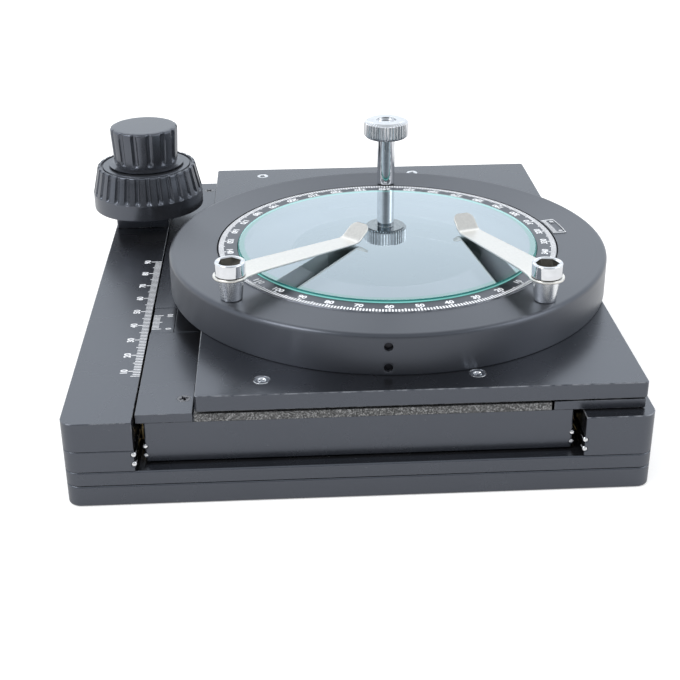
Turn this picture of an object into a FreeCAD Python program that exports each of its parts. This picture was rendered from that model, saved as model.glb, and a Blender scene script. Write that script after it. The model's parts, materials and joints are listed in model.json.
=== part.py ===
import FreeCAD, Part
import Sketcher
import math
import os
import re

V = FreeCAD.Vector
doc = FreeCAD.newDocument("MicroscopeStage")

# Driving dimensions in millimetres and degrees. Zero is where the optical axis meets the resting face.
# X runs to the right, Y away from the scale end, Z up.
SIZES = {
    # base
    "base_width": 158.4, "base_depth": 189.4, "axis_from_left": 99.2, "axis_from_front": 77.8,
    "bottom_thick": 6.1, "base_thick": 4.3, "base_corner": 4.0,
    "left_width": 19.0, "left_low_thick": 6.3, "left_top_thick": 8.5,
    "right_width": 19.3, "right_thick": 11.9, "light_bore": 50.0,
    "mount_hole": 4.2, "mount_span_x": 100.0, "mount_span_y": 60.0, "mount_depth": 5.0,
    "base_screw": 4.0, "base_screw_head": 7.0, "base_screw_sink": 3.6, "base_screw_reach": 14.0,
    "base_screw_inset": 9.0,
    # ball ways
    "way_gap": 2.5, "ball": 2.4, "rod": 1.5, "way_play": 0.05, "y_way_height": 14.0, "x_way_height": 18.4,
    "cage_thick": 0.8, "cage_height": 3.7, "cage_play": 0.05, "y_cage_inset": 13.8, "y_cage_short": 34.4,
    "y_balls": 6, "x_balls": 4, "x_cage_inset": 4.0,
    # Y slide
    "slide_inset": 4.1, "slide_end_gap": 0.1, "slide_lift": 0.6, "slide_thick": 11.6,
    "frame_left": 9.5, "frame_right": 7.6, "rib_thick": 6.975, "rear_rib_thick": 5.775,
    "front_way_inset": 13.6, "rear_way_inset": 13.1, "way_bar": 9.0, "way_bar_left": -49.5, "way_bar_length": 65.0,
    "way_floor": 2.9, "bar_play": 0.5, "x_min": -8.0, "x_max": 16.0, "stop_play": 1.0,
    # covers on the Y slide
    "cover_thick": 2.6, "cover_gap": 0.5, "cover_width": 15.1, "cover_split": -23.8, "split_gap": 0.15,
    "vernier_width": 6.8, "vernier_length": 17.6, "vernier_thick": 2.5, "strip_gap": 0.4,
    "strip_width": 2.6, "strip_thick": 2.3, "right_cover_width": 24.7, "right_cover_inset": 2.6,
    "right_cover_gap": 0.7, "cover_screw": 2.0, "cover_screw_head": 3.8, "cover_screw_reach": 6.0,
    "cover_screw_inset": 8.4,
    # X slide
    "plate_gap": 0.5, "plate_thick": 4.7, "plate_side_gap": 0.8, "plate_right_inset": 2.2,
    "plate_over_front": 0.4, "plate_over_back": 0.2, "plate_corner": 1.0, "plate_bore": 72.0,
    "plate_screw": 2.5, "plate_screw_head": 4.4, "plate_screw_sink": 2.6, "plate_screw_inset": 3.3,
    "plate_screw_reach": 11.0,
    # turntable
    "ring_x": -6.7, "ring_y": 2.1, "ring_turn": -4.6, "rim_width": 15.1, "ring_height": 12.0,
    "ring_round": 1.4, "dial_outer": 105.6, "dial_gap": 0.3, "dial_drop": 0.2, "dial_flange": 4.0,
    "bearing_width": 4.8, "hub_wall": 4.0, "hub_length": 4.0, "hub_play": 0.4, "bearing_thick": 0.5,
    "run_gap": 0.1, "housing_foot": 7.9, "flange_wall": 6.0, "flange_height": 3.7, "fit_play": 0.05,
    "dial_band": 6.2, "glass_thick": 3.0, "glass_proud": 0.5, "glass_play": 0.2, "light_hole": 59.4,
    "glass_floor": 2.0, "retainer_thick": 1.5, "retainer_inset": 1.0,
    "setscrew": 2.4, "setscrew_recess": 1.4, "low_screw_height": 2.2, "high_screw_height": 8.5,
    # clips
    "post_inset": 9.7, "post_spread": 45.0, "sleeve_top": 7.4, "sleeve_foot": 6.6, "sleeve_height": 6.5,
    "clip_screw": 5.0, "clip_screw_depth": 6.0, "cap_head": 8.6, "cap_height": 5.2, "cap_socket": 4.0,
    "socket_depth": 2.8, "clip_thick": 0.8, "clip_eye": 10.1, "clip_width": 9.4, "clip_end_width": 8.2,
    "clip_flat": 6.5, "clip_reach": 53.5, "clip_tip": 6.5, "clip_tip_rise": 3.3, "clip_play": 0.05,
    "clip_lift": 0.3, "left_clip_angle": 47.0, "right_clip_angle": 105.5,
    # lock screw
    "lock_inset": 2.9, "lock_shaft": 6.1, "lock_length": 16.8, "lock_head": 15.2, "lock_head_height": 5.3,
    "lock_thread": 3.0, "lock_thread_depth": 4.0, "lock_lift": 0.1, "lock_recess": 7.0, "recess_depth": 0.8,
    "lock_knurls": 30, "knurl_depth": 0.25,
    # drive
    "knob_from_left": 11.6, "knob_from_back": 37.2, "seat_depth": 21.0, "seat_height": 5.2, "seat_inset": 0.6,
    "tube_outer": 6.0, "shaft": 3.0, "run_play": 0.05, "bush_outer": 9.0,
    "gear_module": 0.5, "backlash": 0.14, "tooth_gap": 0.1, "flank_angle": 20.0,
    "y_teeth": 24, "y_face": 3.1, "y_rack_back": 3.0, "gear_room": 0.4,
    "y_min": -27.0, "y_max": 23.0, "x_teeth": 18, "x_axis_height": 7.0, "pinion_x": -35.0,
    "x_rack_from_knob": 38.4, "x_rack_width": 4.0, "rack_end": 3.0, "journal": 4.5,
    "mitre_radius": 2.7, "mitre_teeth": 12, "mitre_small": 0.63,
    # coaxial knobs
    "low_knob": 38.4, "low_knob_rim": 32.4, "low_knob_height": 15.3, "low_knob_band": 5.6,
    "low_flutes": 36, "low_flute": 1.15, "high_knob": 22.2, "high_knob_height": 13.4, "high_flutes": 14,
    "high_flute": 1.9, "flute_depth": 0.7, "knob_gap": 0.5, "collar": 23.2, "collar_height": 1.6,
    "knob_round": 1.2,
}

# Sizes that follow from others, so that neighbours keep their fit
FOLLOWING = {
    "slide_depth": "=base_depth - slide_inset - slide_end_gap",
    "y_cage_start": "=y_cage_inset - axis_from_front",
    "y_cage_length": "=base_depth - y_cage_short",
    "front_way": "=slide_inset + front_way_inset - axis_from_front",
    "rear_way": "=slide_inset + slide_depth - rear_way_inset - axis_from_front",
    "strip_length": "=base_width - left_width - cover_gap - cover_width - strip_gap - right_cover_gap"
                    " - right_cover_width - right_cover_inset",
    "plate_left": "=left_width + cover_gap + cover_width + plate_side_gap - axis_from_left",
    "plate_width": "=base_width - left_width - cover_gap - cover_width - plate_side_gap - plate_right_inset",
    "plate_front": "=slide_inset - plate_over_front - axis_from_front",
    "plate_depth": "=slide_depth + plate_over_front + plate_over_back",
    "hub_outer": "=dial_outer - bearing_width * 2",
    "retainer_outer": "=dial_outer - retainer_inset * 2",
    "glass_outer": "=dial_outer - dial_band * 2",
    "ring_outer": "=dial_outer + rim_width * 2",
    "flange_outer": "=ring_outer - housing_foot * 2",
    "post_radius": "=dial_outer / 2 + post_inset",
    "lock_radius": "=dial_outer / 2 + lock_inset",
    "knob_x": "=knob_from_left - axis_from_left",
    "knob_y": "=base_depth - knob_from_back - axis_from_front",
    "x_rack_y": "=knob_y - x_rack_from_knob",
}

sheet = doc.addObject("Spreadsheet::Sheet", "Sizes")
for row, (alias, value) in enumerate({**SIZES, **FOLLOWING}.items(), start=1):
    sheet.set(f"A{row}", alias)
    sheet.set(f"B{row}", str(value))
    sheet.setAlias(f"B{row}", alias)
doc.recompute()

MATHS = {"sin", "cos", "tan", "sqrt", "pi", "floor", "mod"}
pieces = []


def bound(text):
    """Expression text with each size name looked up in the sheet."""
    return re.sub(r"[A-Za-z_]\w*", lambda m: m.group(0) if m.group(0) in MATHS else "Sizes." + m.group(0), text)


def size(alias):
    """One driving dimension as a number."""
    return float(sheet.get(alias))


def keep(solid, label):
    """Mark an object as a finished piece of the stage."""
    solid.Label = label
    pieces.append(solid)
    return solid


# Named places that several pieces share
left = "(-axis_from_left)"
right = "(base_width - axis_from_left)"
front = "(-axis_from_front)"
back = "(base_depth - axis_from_front)"
base_top = "(bottom_thick + base_thick)"
left_edge = f"({left} + left_width)"
right_edge = f"({right} - right_width)"
left_split = f"({base_top} + left_low_thick)"
left_top = f"({left_split} + left_top_thick)"
slide_left = f"({left_edge} + way_gap)"
slide_right = f"({right_edge} - way_gap)"
slide_front = f"({front} + slide_inset)"
slide_back = f"({slide_front} + slide_depth)"
slide_low = f"({base_top} + slide_lift)"
slide_top = f"({slide_low} + slide_thick)"
left_way = f"({left_edge} + way_gap / 2)"
right_way = f"({right_edge} - way_gap / 2)"
rod_offset = "(((ball + rod) / 2 + way_play) * sin(45))"
front_rib = f"(front_way + way_gap / 2)"
opening_front = f"({front_rib} + rib_thick)"
rear_rib = f"(rear_way - way_gap / 2)"
opening_back = f"({rear_rib} - rear_rib_thick)"
front_bar = "(front_way - way_gap / 2 - way_bar)"
rear_bar = "(rear_way + way_gap / 2)"
bar_right = "(way_bar_left + way_bar_length)"
track_left = "(way_bar_left + x_min - stop_play)"
track_right = f"({bar_right} + x_max + stop_play)"
cover_left = f"({left_edge} + cover_gap)"
cover_top = f"({slide_top} + cover_thick)"
strip_left = f"({cover_left} + cover_width + strip_gap)"
strip_right = f"({strip_left} + strip_length)"
right_cover = f"({strip_right} + right_cover_gap)"
plate_low = f"({cover_top} + plate_gap)"
plate_top = f"({plate_low} + plate_thick)"
ring_top = f"({plate_top} + ring_height)"
dial_top = f"({ring_top} - dial_drop)"
glass_top = f"({ring_top} + glass_proud)"
glass_low = f"({glass_top} - glass_thick)"
flange_low = f"({dial_top} - dial_flange)"
hub_low = f"({flange_low} - hub_length)"
ledge_top = f"({flange_low} - bearing_thick - run_gap)"
ledge_low = f"({hub_low} + run_gap)"
left_post = "(ring_turn - 90 - post_spread)"
right_post = "(ring_turn - 90 + post_spread)"
sleeve_end = f"({ring_top} + sleeve_height)"
clip_low = f"({sleeve_end} + clip_play)"
cap_low = f"({clip_low} + clip_thick + clip_play)"
seat_top = f"({left_top} + seat_height)"
low_knob_low = f"({seat_top} + knob_gap)"
low_knob_top = f"({low_knob_low} + low_knob_height)"
high_knob_low = f"({low_knob_top} + knob_gap)"
y_pitch = "(gear_module * y_teeth / 2)"
y_rack_low = f"({slide_top} - run_gap - y_face)"
y_rack_line = f"(knob_x + {y_pitch})"
y_rack_start = "(knob_y - y_max - rack_end)"
y_rack_end = "(knob_y - y_min + rack_end)"
well_top = f"({y_rack_low} + y_face + gear_room)"
x_pitch = "(gear_module * x_teeth / 2)"
x_rack_start = "(pinion_x - x_max - rack_end)"
x_rack_end = "(pinion_x - x_min + rack_end)"
pinion_front = "(x_rack_y + y_min - stop_play / 2)"
pinion_back = "(x_rack_y + x_rack_width + y_max + stop_play / 2)"
mitre_tip = "(mitre_radius * 1.2)"
mitre_room = f"({mitre_tip} + gear_room)"
bore_play = "(shaft / 2 + run_play)"


# Building blocks
def block(name, x, y, z):
    """Box between two bounds along each axis."""
    solid = doc.addObject("Part::Box", name)
    for prop, axis, (low, high) in (("Length", "x", x), ("Width", "y", y), ("Height", "z", z)):
        solid.setExpression(prop, bound(f"({high}) - ({low})"))
        solid.setExpression("Placement.Base." + axis, bound(f"{low}"))
    return solid


def rod(name, axis, radius, **at):
    """Round bar along one axis, whose coordinate on that axis is a pair of ends."""
    turn = {"x": FreeCAD.Rotation(V(0, 1, 0), 90), "y": FreeCAD.Rotation(V(1, 0, 0), -90), "z": FreeCAD.Rotation()}
    low, high = at[axis]
    solid = doc.addObject("Part::Cylinder", name)
    solid.Placement = FreeCAD.Placement(V(0, 0, 0), turn[axis])
    solid.setExpression("Radius", bound(radius))
    solid.setExpression("Height", bound(f"({high}) - ({low})"))
    for letter in "xyz":
        solid.setExpression("Placement.Base." + letter, bound(low if letter == axis else at[letter]))
    return solid


def taper(name, low_radius, high_radius, x, y, z):
    """Upright cone frustum between two heights."""
    solid = doc.addObject("Part::Cone", name)
    solid.setExpression("Radius1", bound(low_radius))
    solid.setExpression("Radius2", bound(high_radius))
    solid.setExpression("Height", bound(f"({z[1]}) - ({z[0]})"))
    place(solid, x, y, z[0])
    return solid


def place(solid, x, y, z, turn=None):
    """Bind where an object stands and, if it is turned, its angle about the upright."""
    if turn:
        solid.Placement.Rotation = FreeCAD.Rotation(V(0, 0, 1), 10)
        solid.setExpression("Placement.Rotation.Angle", bound(turn))
    for letter, text in zip("xyz", (x, y, z)):
        solid.setExpression("Placement.Base." + letter, bound(text))
    return solid


def union(name, solids):
    joined = doc.addObject("Part::MultiFuse", name)
    joined.Shapes = solids
    return joined


def several(name, solids):
    """Loose solids of one kind, kept together as one piece."""
    loose = doc.addObject("Part::Compound", name)
    loose.Links = solids
    return loose


def cut(name, base, tools):
    result = doc.addObject("Part::Cut", name)
    result.Base = base
    result.Tool = tools[0] if len(tools) == 1 else union(name + "_tools", tools)
    return result


def new_body(name):
    return doc.addObject("PartDesign::Body", name)


def new_sketch(body, name, role, offset=None):
    """Sketch on one of the body's own origin planes, moved along its normal if asked."""
    drawn = body.newObject("Sketcher::SketchObject", name)
    drawn.AttachmentSupport = (next(f for f in body.Origin.OriginFeatures if f.Role == role), [""])
    drawn.MapMode = "FlatFace"
    if offset:
        drawn.setExpression("AttachmentOffset.Base.z", bound(offset))
    return drawn


def hold(drawn, kind, text, *where):
    """Constraint that takes its value from the sheet."""
    index = drawn.addConstraint(Sketcher.Constraint(kind, *where, 1.0))
    drawn.setExpression(f"Constraints[{index}]", bound(text))


def outline(drawn, corners):
    """Closed outline with each corner held by its distances from the sketch origin."""
    count = len(corners)
    spread = [V(9 * math.cos(math.tau * i / count), 9 * math.sin(math.tau * i / count), 0) for i in range(count)]
    first = drawn.GeometryCount
    drawn.addGeometry([Part.LineSegment(spread[i], spread[(i + 1) % count]) for i in range(count)], False)
    for i in range(count):
        drawn.addConstraint(Sketcher.Constraint("Coincident", first + i, 2, first + (i + 1) % count, 1))
    for i, (x, y) in enumerate(corners):
        hold(drawn, "DistanceX", x, -1, 1, first + i, 1)
        hold(drawn, "DistanceY", y, -1, 1, first + i, 1)


def circle(drawn, x, y, radius):
    index = drawn.addGeometry(Part.Circle(V(1, 1, 0), V(0, 0, 1), 1.0), False)
    hold(drawn, "DistanceX", x, -1, 1, index, 3)
    hold(drawn, "DistanceY", y, -1, 1, index, 3)
    hold(drawn, "Radius", radius, index)


def pad(body, name, drawn, length, middle=False):
    feature = body.newObject("PartDesign::Pad", name)
    feature.Profile = drawn
    feature.Midplane = middle
    feature.setExpression("Length", bound(length))
    doc.recompute()
    return feature


def pocket(body, name, drawn, length, reverse=False):
    before = body.Shape.Volume
    feature = body.newObject("PartDesign::Pocket", name)
    feature.Profile = drawn
    feature.Reversed = reverse
    feature.setExpression("Length", bound(length))
    doc.recompute()
    if feature.Shape.Volume > before - 1e-6:
        raise RuntimeError(f"{name} removes nothing")
    return feature


def revolve(body, name, drawn):
    feature = body.newObject("PartDesign::Revolution", name)
    feature.Profile = drawn
    feature.ReferenceAxis = (drawn, ["V_Axis"])
    feature.Angle = 360
    doc.recompute()
    return feature


def around(body, name, feature, drawn, count):
    """Polar pattern of a feature about the normal of a sketch through the body's origin."""
    pattern = body.newObject("PartDesign::PolarPattern", name)
    pattern.Originals = [feature]
    pattern.Axis = (drawn, ["N_Axis"])
    pattern.Angle = 360
    pattern.setExpression("Occurrences", bound(count))
    body.Tip = pattern
    doc.recompute()
    return pattern


def round_edges(body, name, feature, radius, wanted):
    """Fillet on the edges of a feature that a test picks out."""
    doc.recompute()
    names = [f"Edge{i + 1}" for i, edge in enumerate(feature.Shape.Edges) if wanted(edge)]
    smooth = body.newObject("PartDesign::Fillet", name)
    smooth.Base = (feature, names)
    smooth.setExpression("Radius", bound(radius))
    doc.recompute()
    return smooth


def upright(edge):
    return edge.BoundBox.ZLength > 1e-6 and edge.BoundBox.XLength < 1e-6 and edge.BoundBox.YLength < 1e-6


def slab(name, x, y, z, corner, sides="both"):
    """Plate with its upright corners rounded on one side or on both."""
    body = new_body(name)
    drawn = new_sketch(body, name + "_sketch", "XY_Plane", z[0])
    outline(drawn, [(x[0], y[0]), (x[1], y[0]), (x[1], y[1]), (x[0], y[1])])
    plate = pad(body, name + "_pad", drawn, f"({z[1]}) - ({z[0]})")
    middle = plate.Shape.BoundBox.Center.x
    side = {"both": lambda e: True, "left": lambda e: e.BoundBox.XMin < middle,
            "right": lambda e: e.BoundBox.XMin > middle}[sides]
    round_edges(body, name + "_corners", plate, corner, lambda e: upright(e) and side(e))
    return body


# Cavities of the hidden drive in the base
def drive_cavities(tag):
    shaft_line = {"y": "knob_y", "z": "x_axis_height"}
    heights = (f"x_axis_height - {mitre_room}", f"{base_top} + 1")
    return [
        block(tag + "_near_corner", (f"knob_x - {mitre_room}", f"knob_x + {mitre_room}"),
              (f"knob_y - {mitre_room}", f"knob_y + {mitre_room}"), heights),
        block(tag + "_far_corner", (f"pinion_x - {mitre_room}", f"pinion_x + {mitre_room}"),
              (f"knob_y - {mitre_room}", f"knob_y + {mitre_room}"), heights),
        rod(tag + "_cross_bore", "x", bore_play, x=("knob_x + mitre_radius", "pinion_x - mitre_radius"), **shaft_line),
        block(tag + "_pinion_slot",
              (f"pinion_x - {x_pitch} - gear_module - gear_room", f"pinion_x + {x_pitch} + gear_module + gear_room"),
              (f"{pinion_front} - gear_room", f"{pinion_back} + gear_room"),
              (f"x_axis_height - {x_pitch} - gear_module - gear_room", f"{base_top} + 1")),
        rod(tag + "_journal_bore", "y", bore_play, x="pinion_x", z="x_axis_height",
            y=(f"{pinion_front} - gear_room - journal - run_play", "knob_y - mitre_radius")),
    ]


base_screw_spots = [(x, y) for x in (f"{left} + base_screw_inset", f"{right} - base_screw_inset")
                    for y in (f"{front} + base_screw_inset", f"{back} - base_screw_inset * 2")]


def base_screw_bores(tag):
    return [rod(f"{tag}_screw_bore_{i}", "z", "base_screw / 2", x=x, y=y, z=("-1", "base_screw_reach"))
            for i, (x, y) in enumerate(base_screw_spots)]


# Bottom plate with the light bore, the mounting holes and half of the drive cavities
def bottom_plate():
    plate = slab("bottom_slab", (left, right), (front, back), ("0", "bottom_thick"), "base_corner")
    tools = drive_cavities("bottom") + base_screw_bores("bottom")
    tools.append(rod("bottom_light_bore", "z", "light_bore / 2", x="0", y="0", z=("-1", "bottom_thick + 1")))
    for i, (x, y) in enumerate(base_screw_spots):
        tools.append(rod(f"bottom_screw_sink_{i}", "z", "base_screw_head / 2", x=x, y=y, z=("-1", "base_screw_sink")))
    for i, (across, along) in enumerate(((-1, -1), (1, -1), (1, 1), (-1, 1))):
        tools.append(rod(f"mount_hole_{i}", "z", "mount_hole / 2", x=f"mount_span_x / 2 * {across}",
                         y=f"mount_span_y / 2 * {along}", z=("-1", "mount_depth")))
    keep(cut("bottom_plate", plate, tools), "bottom_plate")


def base_plate():
    plate = slab("base_slab", (left, right), (front, back), ("bottom_thick", base_top), "base_corner")
    bore = rod("base_light_bore", "z", "light_bore / 2", x="0", y="0", z=("bottom_thick - 1", f"{base_top} + 1"))
    keep(cut("base_plate", plate, drive_cavities("base") + base_screw_bores("base") + [bore]), "base_plate")


def base_screws():
    screws = []
    for i, (x, y) in enumerate(base_screw_spots):
        head = rod(f"base_head_{i}", "z", "base_screw_head / 2", x=x, y=y, z=("base_screw_sink - 2.6", "base_screw_sink"))
        stem = rod(f"base_stem_{i}", "z", "base_screw / 2", x=x, y=y, z=("base_screw_sink", "base_screw_reach"))
        screws.append(union(f"base_screw_{i}", [head, stem]))
    keep(several("base_screws", screws), "base_screws")


# Race rods of the ball ways, two on each side of a ball line
def race_rods(name, axis, run, lines, height):
    """lines: the cross coordinate of a ball line and the side on which its rods lie."""
    across = "y" if axis == "x" else "x"
    rods = []
    for i, (line, side) in enumerate(lines):
        for level in (-1, 1):
            at = {axis: run, across: f"{line} + {rod_offset} * {side}", "z": f"{height} + {rod_offset} * {level}"}
            rods.append(rod(f"{name}_{i}_{'low' if level < 0 else 'high'}", axis, "rod / 2", **at))
    return rods


def rail_blocks():
    low = slab("left_low_slab", (left, left_edge), (front, back), (base_top, left_split), "base_corner", "left")
    fixed = race_rods("left_seat", "y", (f"{front} - 1", f"{back} + 1"), [(left_way, -1)], "y_way_height")
    shaft_bore = rod("left_shaft_bore", "z", bore_play, x="knob_x", y="knob_y", z=(base_top, left_split))
    keep(cut("left_rail_block", low, fixed + [shaft_bore] + base_screw_bores("left_low")), "left_rail_block")

    high = slab("left_high_slab", (left, left_edge), (front, back), (left_split, left_top), "base_corner", "left")
    well = rod("pinion_well", "z", f"{y_pitch} + gear_module + gear_room", x="knob_x", y="knob_y",
               z=(f"{left_split} - 1", well_top))
    channel = block("rack_channel", (f"{y_rack_line} - gear_module - gear_room", f"{left_edge} + 1"),
                    (f"{y_rack_start} + y_min - stop_play", f"{back} + 1"), (f"{y_rack_low} - gear_room", well_top))
    bush_bore = rod("bush_bore", "z", "bush_outer / 2", x="knob_x", y="knob_y", z=(well_top, f"{left_top} + 1"))
    keep(cut("left_scale_plate", high, [well, channel, bush_bore]), "left_scale_plate")

    side = slab("right_slab", (right_edge, right), (front, back), (base_top, f"{base_top} + right_thick"),
                "base_corner", "right")
    fixed = race_rods("right_seat", "y", (f"{front} - 1", f"{back} + 1"), [(right_way, 1)], "y_way_height")
    keep(cut("right_rail_block", side, fixed + base_screw_bores("right")), "right_rail_block")

    rods = race_rods("y_fixed_rod", "y", (front, back), [(left_way, -1), (right_way, 1)], "y_way_height")
    keep(several("y_fixed_rods", rods), "y_fixed_rods")


# Moving frame of the Y axis with its two cross channels
def y_slide():
    frame = slab("slide_slab", (slide_left, slide_right), (slide_front, slide_back), (slide_low, slide_top), "0.6")
    rise = (f"{slide_low} + way_floor", f"{slide_top} + 1")
    tools = [
        block("slide_opening", (f"{slide_left} + frame_left", f"{slide_right} - frame_right"),
              (opening_front, opening_back), (f"{slide_low} - 1", f"{slide_top} + 1")),
        block("front_channel", (track_left, track_right), (f"{front_bar} - bar_play", front_rib), rise),
        block("rear_channel", (track_left, track_right), (rear_rib, f"{rear_bar} + way_bar + bar_play"), rise),
        block("rack_step", (f"{slide_left} - 1", f"{slide_left} + y_rack_back"),
              (y_rack_start, y_rack_end), (y_rack_low, f"{slide_top} + 1")),
    ]
    run = (f"{slide_front} - 1", f"{slide_back} + 1")
    tools += race_rods("slide_seat", "y", run, [(left_way, 1), (right_way, -1)], "y_way_height")
    tools += race_rods("rib_seat", "x", (track_left, track_right), [("front_way", 1), ("rear_way", -1)], "x_way_height")
    tools += [rod(f"cover_screw_bore_{i}", "z", "cover_screw / 2", x=x, y=y,
                  z=(f"{cover_top} - cover_screw_reach", f"{slide_top} + 1"))
              for i, (x, y) in enumerate(cover_screw_spots)]
    keep(cut("y_slide", frame, tools), "y_slide")
    rods = race_rods("y_moving_rod", "y", (slide_front, slide_back), [(left_way, 1), (right_way, -1)], "y_way_height")
    keep(several("y_moving_rods", rods), "y_moving_rods")
    rods = race_rods("x_fixed_rod", "x", (track_left, track_right), [("front_way", 1), ("rear_way", -1)],
                     "x_way_height")
    keep(several("x_fixed_rods", rods), "x_fixed_rods")


# Thin covers, the vernier and the wiper strips on the Y slide
screw_front = f"({slide_front} + cover_screw_inset)"
screw_rear = f"({slide_back} - cover_screw_inset)"
cover_screw_spots = [
    (f"{strip_left} - strip_gap - 2.6", screw_front), (f"{strip_left} - strip_gap - 2.6", screw_rear),
    (f"{right_cover} + 3.2", screw_front), (f"{right_cover} + 3.2", screw_rear),
]


def cover_bores(tag, picked):
    tools = []
    for i in picked:
        x, y = cover_screw_spots[i]
        tools.append(rod(f"{tag}_bore_{i}", "z", "cover_screw / 2", x=x, y=y, z=(slide_top, f"{cover_top} + 1")))
        tools.append(taper(f"{tag}_sink_{i}", "cover_screw / 2", "cover_screw_head / 2", x, y,
                           (f"{cover_top} - (cover_screw_head - cover_screw) / 2", cover_top)))
    return tools


def covers():
    high = (slide_top, cover_top)
    across = (cover_left, f"{cover_left} + cover_width")
    lid = block("front_lid", across, (slide_front, "cover_split - split_gap"), high)
    keep(cut("vernier_cover_front", lid, cover_bores("front_lid", [0])), "vernier_cover_front")

    body = new_body("rear_lid")
    drawn = new_sketch(body, "rear_lid_sketch", "XY_Plane", slide_top)
    leg = f"{cover_left} + vernier_width + split_gap * 2"
    outline(drawn, [(leg, "cover_split"), (across[1], "cover_split"), (across[1], slide_back),
                    (cover_left, slide_back), (cover_left, "cover_split + vernier_length + split_gap"),
                    (leg, "cover_split + vernier_length + split_gap")])
    pad(body, "rear_lid_pad", drawn, "cover_thick")
    keep(cut("vernier_cover_rear", body, cover_bores("rear_lid", [1])), "vernier_cover_rear")

    keep(block("vernier_plate", (f"{cover_left} + split_gap", f"{cover_left} + split_gap + vernier_width"),
               ("cover_split", "cover_split + vernier_length"), (slide_top, f"{slide_top} + vernier_thick")),
         "vernier_plate")
    lid = block("right_lid", (right_cover, f"{right_cover} + right_cover_width"), (slide_front, slide_back), high)
    keep(cut("right_cover", lid, cover_bores("right_lid", [2, 3])), "right_cover")
    strip_rise = (slide_top, f"{slide_top} + strip_thick")
    keep(block("wiper_strip_front", (strip_left, strip_right), (slide_front, f"{slide_front} + strip_width"),
               strip_rise), "wiper_strip_front")
    keep(block("wiper_strip_rear", (strip_left, strip_right), (f"{slide_back} - strip_width", slide_back),
               strip_rise), "wiper_strip_rear")
    screws = []
    for i, (x, y) in enumerate(cover_screw_spots):
        cone = taper(f"cover_head_{i}", "cover_screw / 2", "cover_screw_head / 2", x, y,
                     (f"{cover_top} - (cover_screw_head - cover_screw) / 2", cover_top))
        stem = rod(f"cover_stem_{i}", "z", "cover_screw / 2", x=x, y=y,
                   z=(f"{cover_top} - cover_screw_reach", f"{cover_top} - (cover_screw_head - cover_screw) / 2"))
        screws.append(union(f"cover_screw_{i}", [cone, stem]))
    keep(several("cover_screws", screws), "cover_screws")


# Top plate of the X axis with its way bars
plate_screw_spots = [(x, y) for x in ("way_bar_left + plate_screw_inset", f"{bar_right} - plate_screw_inset")
                     for y in (f"{front_bar} + way_bar / 2", f"{rear_bar} + way_bar / 2")]


def plate_screw_bores(tag):
    return [rod(f"{tag}_bore_{i}", "z", "plate_screw / 2", x=x, y=y,
                z=(f"{plate_top} - plate_screw_reach", f"{plate_top} + 1")) for i, (x, y) in enumerate(plate_screw_spots)]


def x_plate():
    plate = slab("x_slab", ("plate_left", "plate_left + plate_width"), ("plate_front", "plate_front + plate_depth"),
                 (plate_low, plate_top), "plate_corner")
    tools = [rod("plate_bore", "z", "plate_bore / 2", x="ring_x", y="ring_y", z=(f"{plate_low} - 1", f"{plate_top} + 1"))]
    tools += plate_screw_bores("plate")
    tools += [rod(f"plate_sink_{i}", "z", "plate_screw_head / 2", x=x, y=y,
                  z=(f"{plate_top} - plate_screw_sink", f"{plate_top} + 1")) for i, (x, y) in enumerate(plate_screw_spots)]
    keep(cut("x_plate", plate, tools), "x_plate")

    low = f"{slide_low} + way_floor + bar_play"
    run = ("way_bar_left", bar_right)
    seats = race_rods("bar_seat", "x", run, [("front_way", -1), ("rear_way", 1)], "x_way_height")
    bores = plate_screw_bores("bar")
    for i, (name, near) in enumerate((("x_bar_front", front_bar), ("x_bar_rear", rear_bar))):
        body = block(name + "_block", run, (near, f"{near} + way_bar"), (low, plate_low))
        keep(cut(name, body, seats[2 * i:2 * i + 2] + [bores[i], bores[i + 2]]), name)
    rods = race_rods("x_moving_rod", "x", run, [("front_way", -1), ("rear_way", 1)], "x_way_height")
    keep(several("x_moving_rods", rods), "x_moving_rods")
    screws = []
    for i, (x, y) in enumerate(plate_screw_spots):
        head = rod(f"plate_head_{i}", "z", "plate_screw_head / 2", x=x, y=y,
                   z=(f"{plate_top} - plate_screw_sink", f"{plate_top} - 0.1"))
        stem = rod(f"plate_stem_{i}", "z", "plate_screw / 2", x=x, y=y,
                   z=(f"{plate_top} - plate_screw_reach", f"{plate_top} - plate_screw_sink"))
        screws.append(union(f"plate_screw_{i}", [head, stem]))
    keep(several("x_plate_screws", screws), "x_plate_screws")


# Turntable housing, set down on its flange and turned a little
def turned_section(name, corners):
    """Ring of revolution about the turntable axis from corners given as radius and height."""
    body = new_body(name)
    drawn = new_sketch(body, name + "_sketch", "XZ_Plane")
    outline(drawn, corners)
    return body, revolve(body, name + "_turned", drawn)


def set_screw_places():
    """Angle, height and inner end of each radial screw."""
    spots = []
    for step in (0, 120, 240):
        angle = f"(ring_turn - 90 + {step})"
        spots.append((angle, f"({plate_top} + low_screw_height)", "(flange_outer / 2)"))
        spots.append((angle, f"({plate_top} + high_screw_height)", "(dial_outer / 2 + dial_gap * 2)"))
    return spots


def radial(name, radius, angle, height, inner, outer):
    """Lying cylinder that points away from the turntable axis."""
    solid = doc.addObject("Part::Cylinder", name)
    solid.setExpression("Radius", bound(radius))
    solid.setExpression("Height", bound(f"({outer}) - ({inner})"))
    solid.Placement = FreeCAD.Placement(V(0, 0, 0), FreeCAD.Rotation(V(0, 1, 0), 90))
    carrier = doc.addObject("Part::Compound", name + "_aimed")
    carrier.Links = [solid]
    solid.setExpression("Placement.Base.x", bound(inner))
    place(carrier, "ring_x", "ring_y", height, angle)
    return carrier


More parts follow.
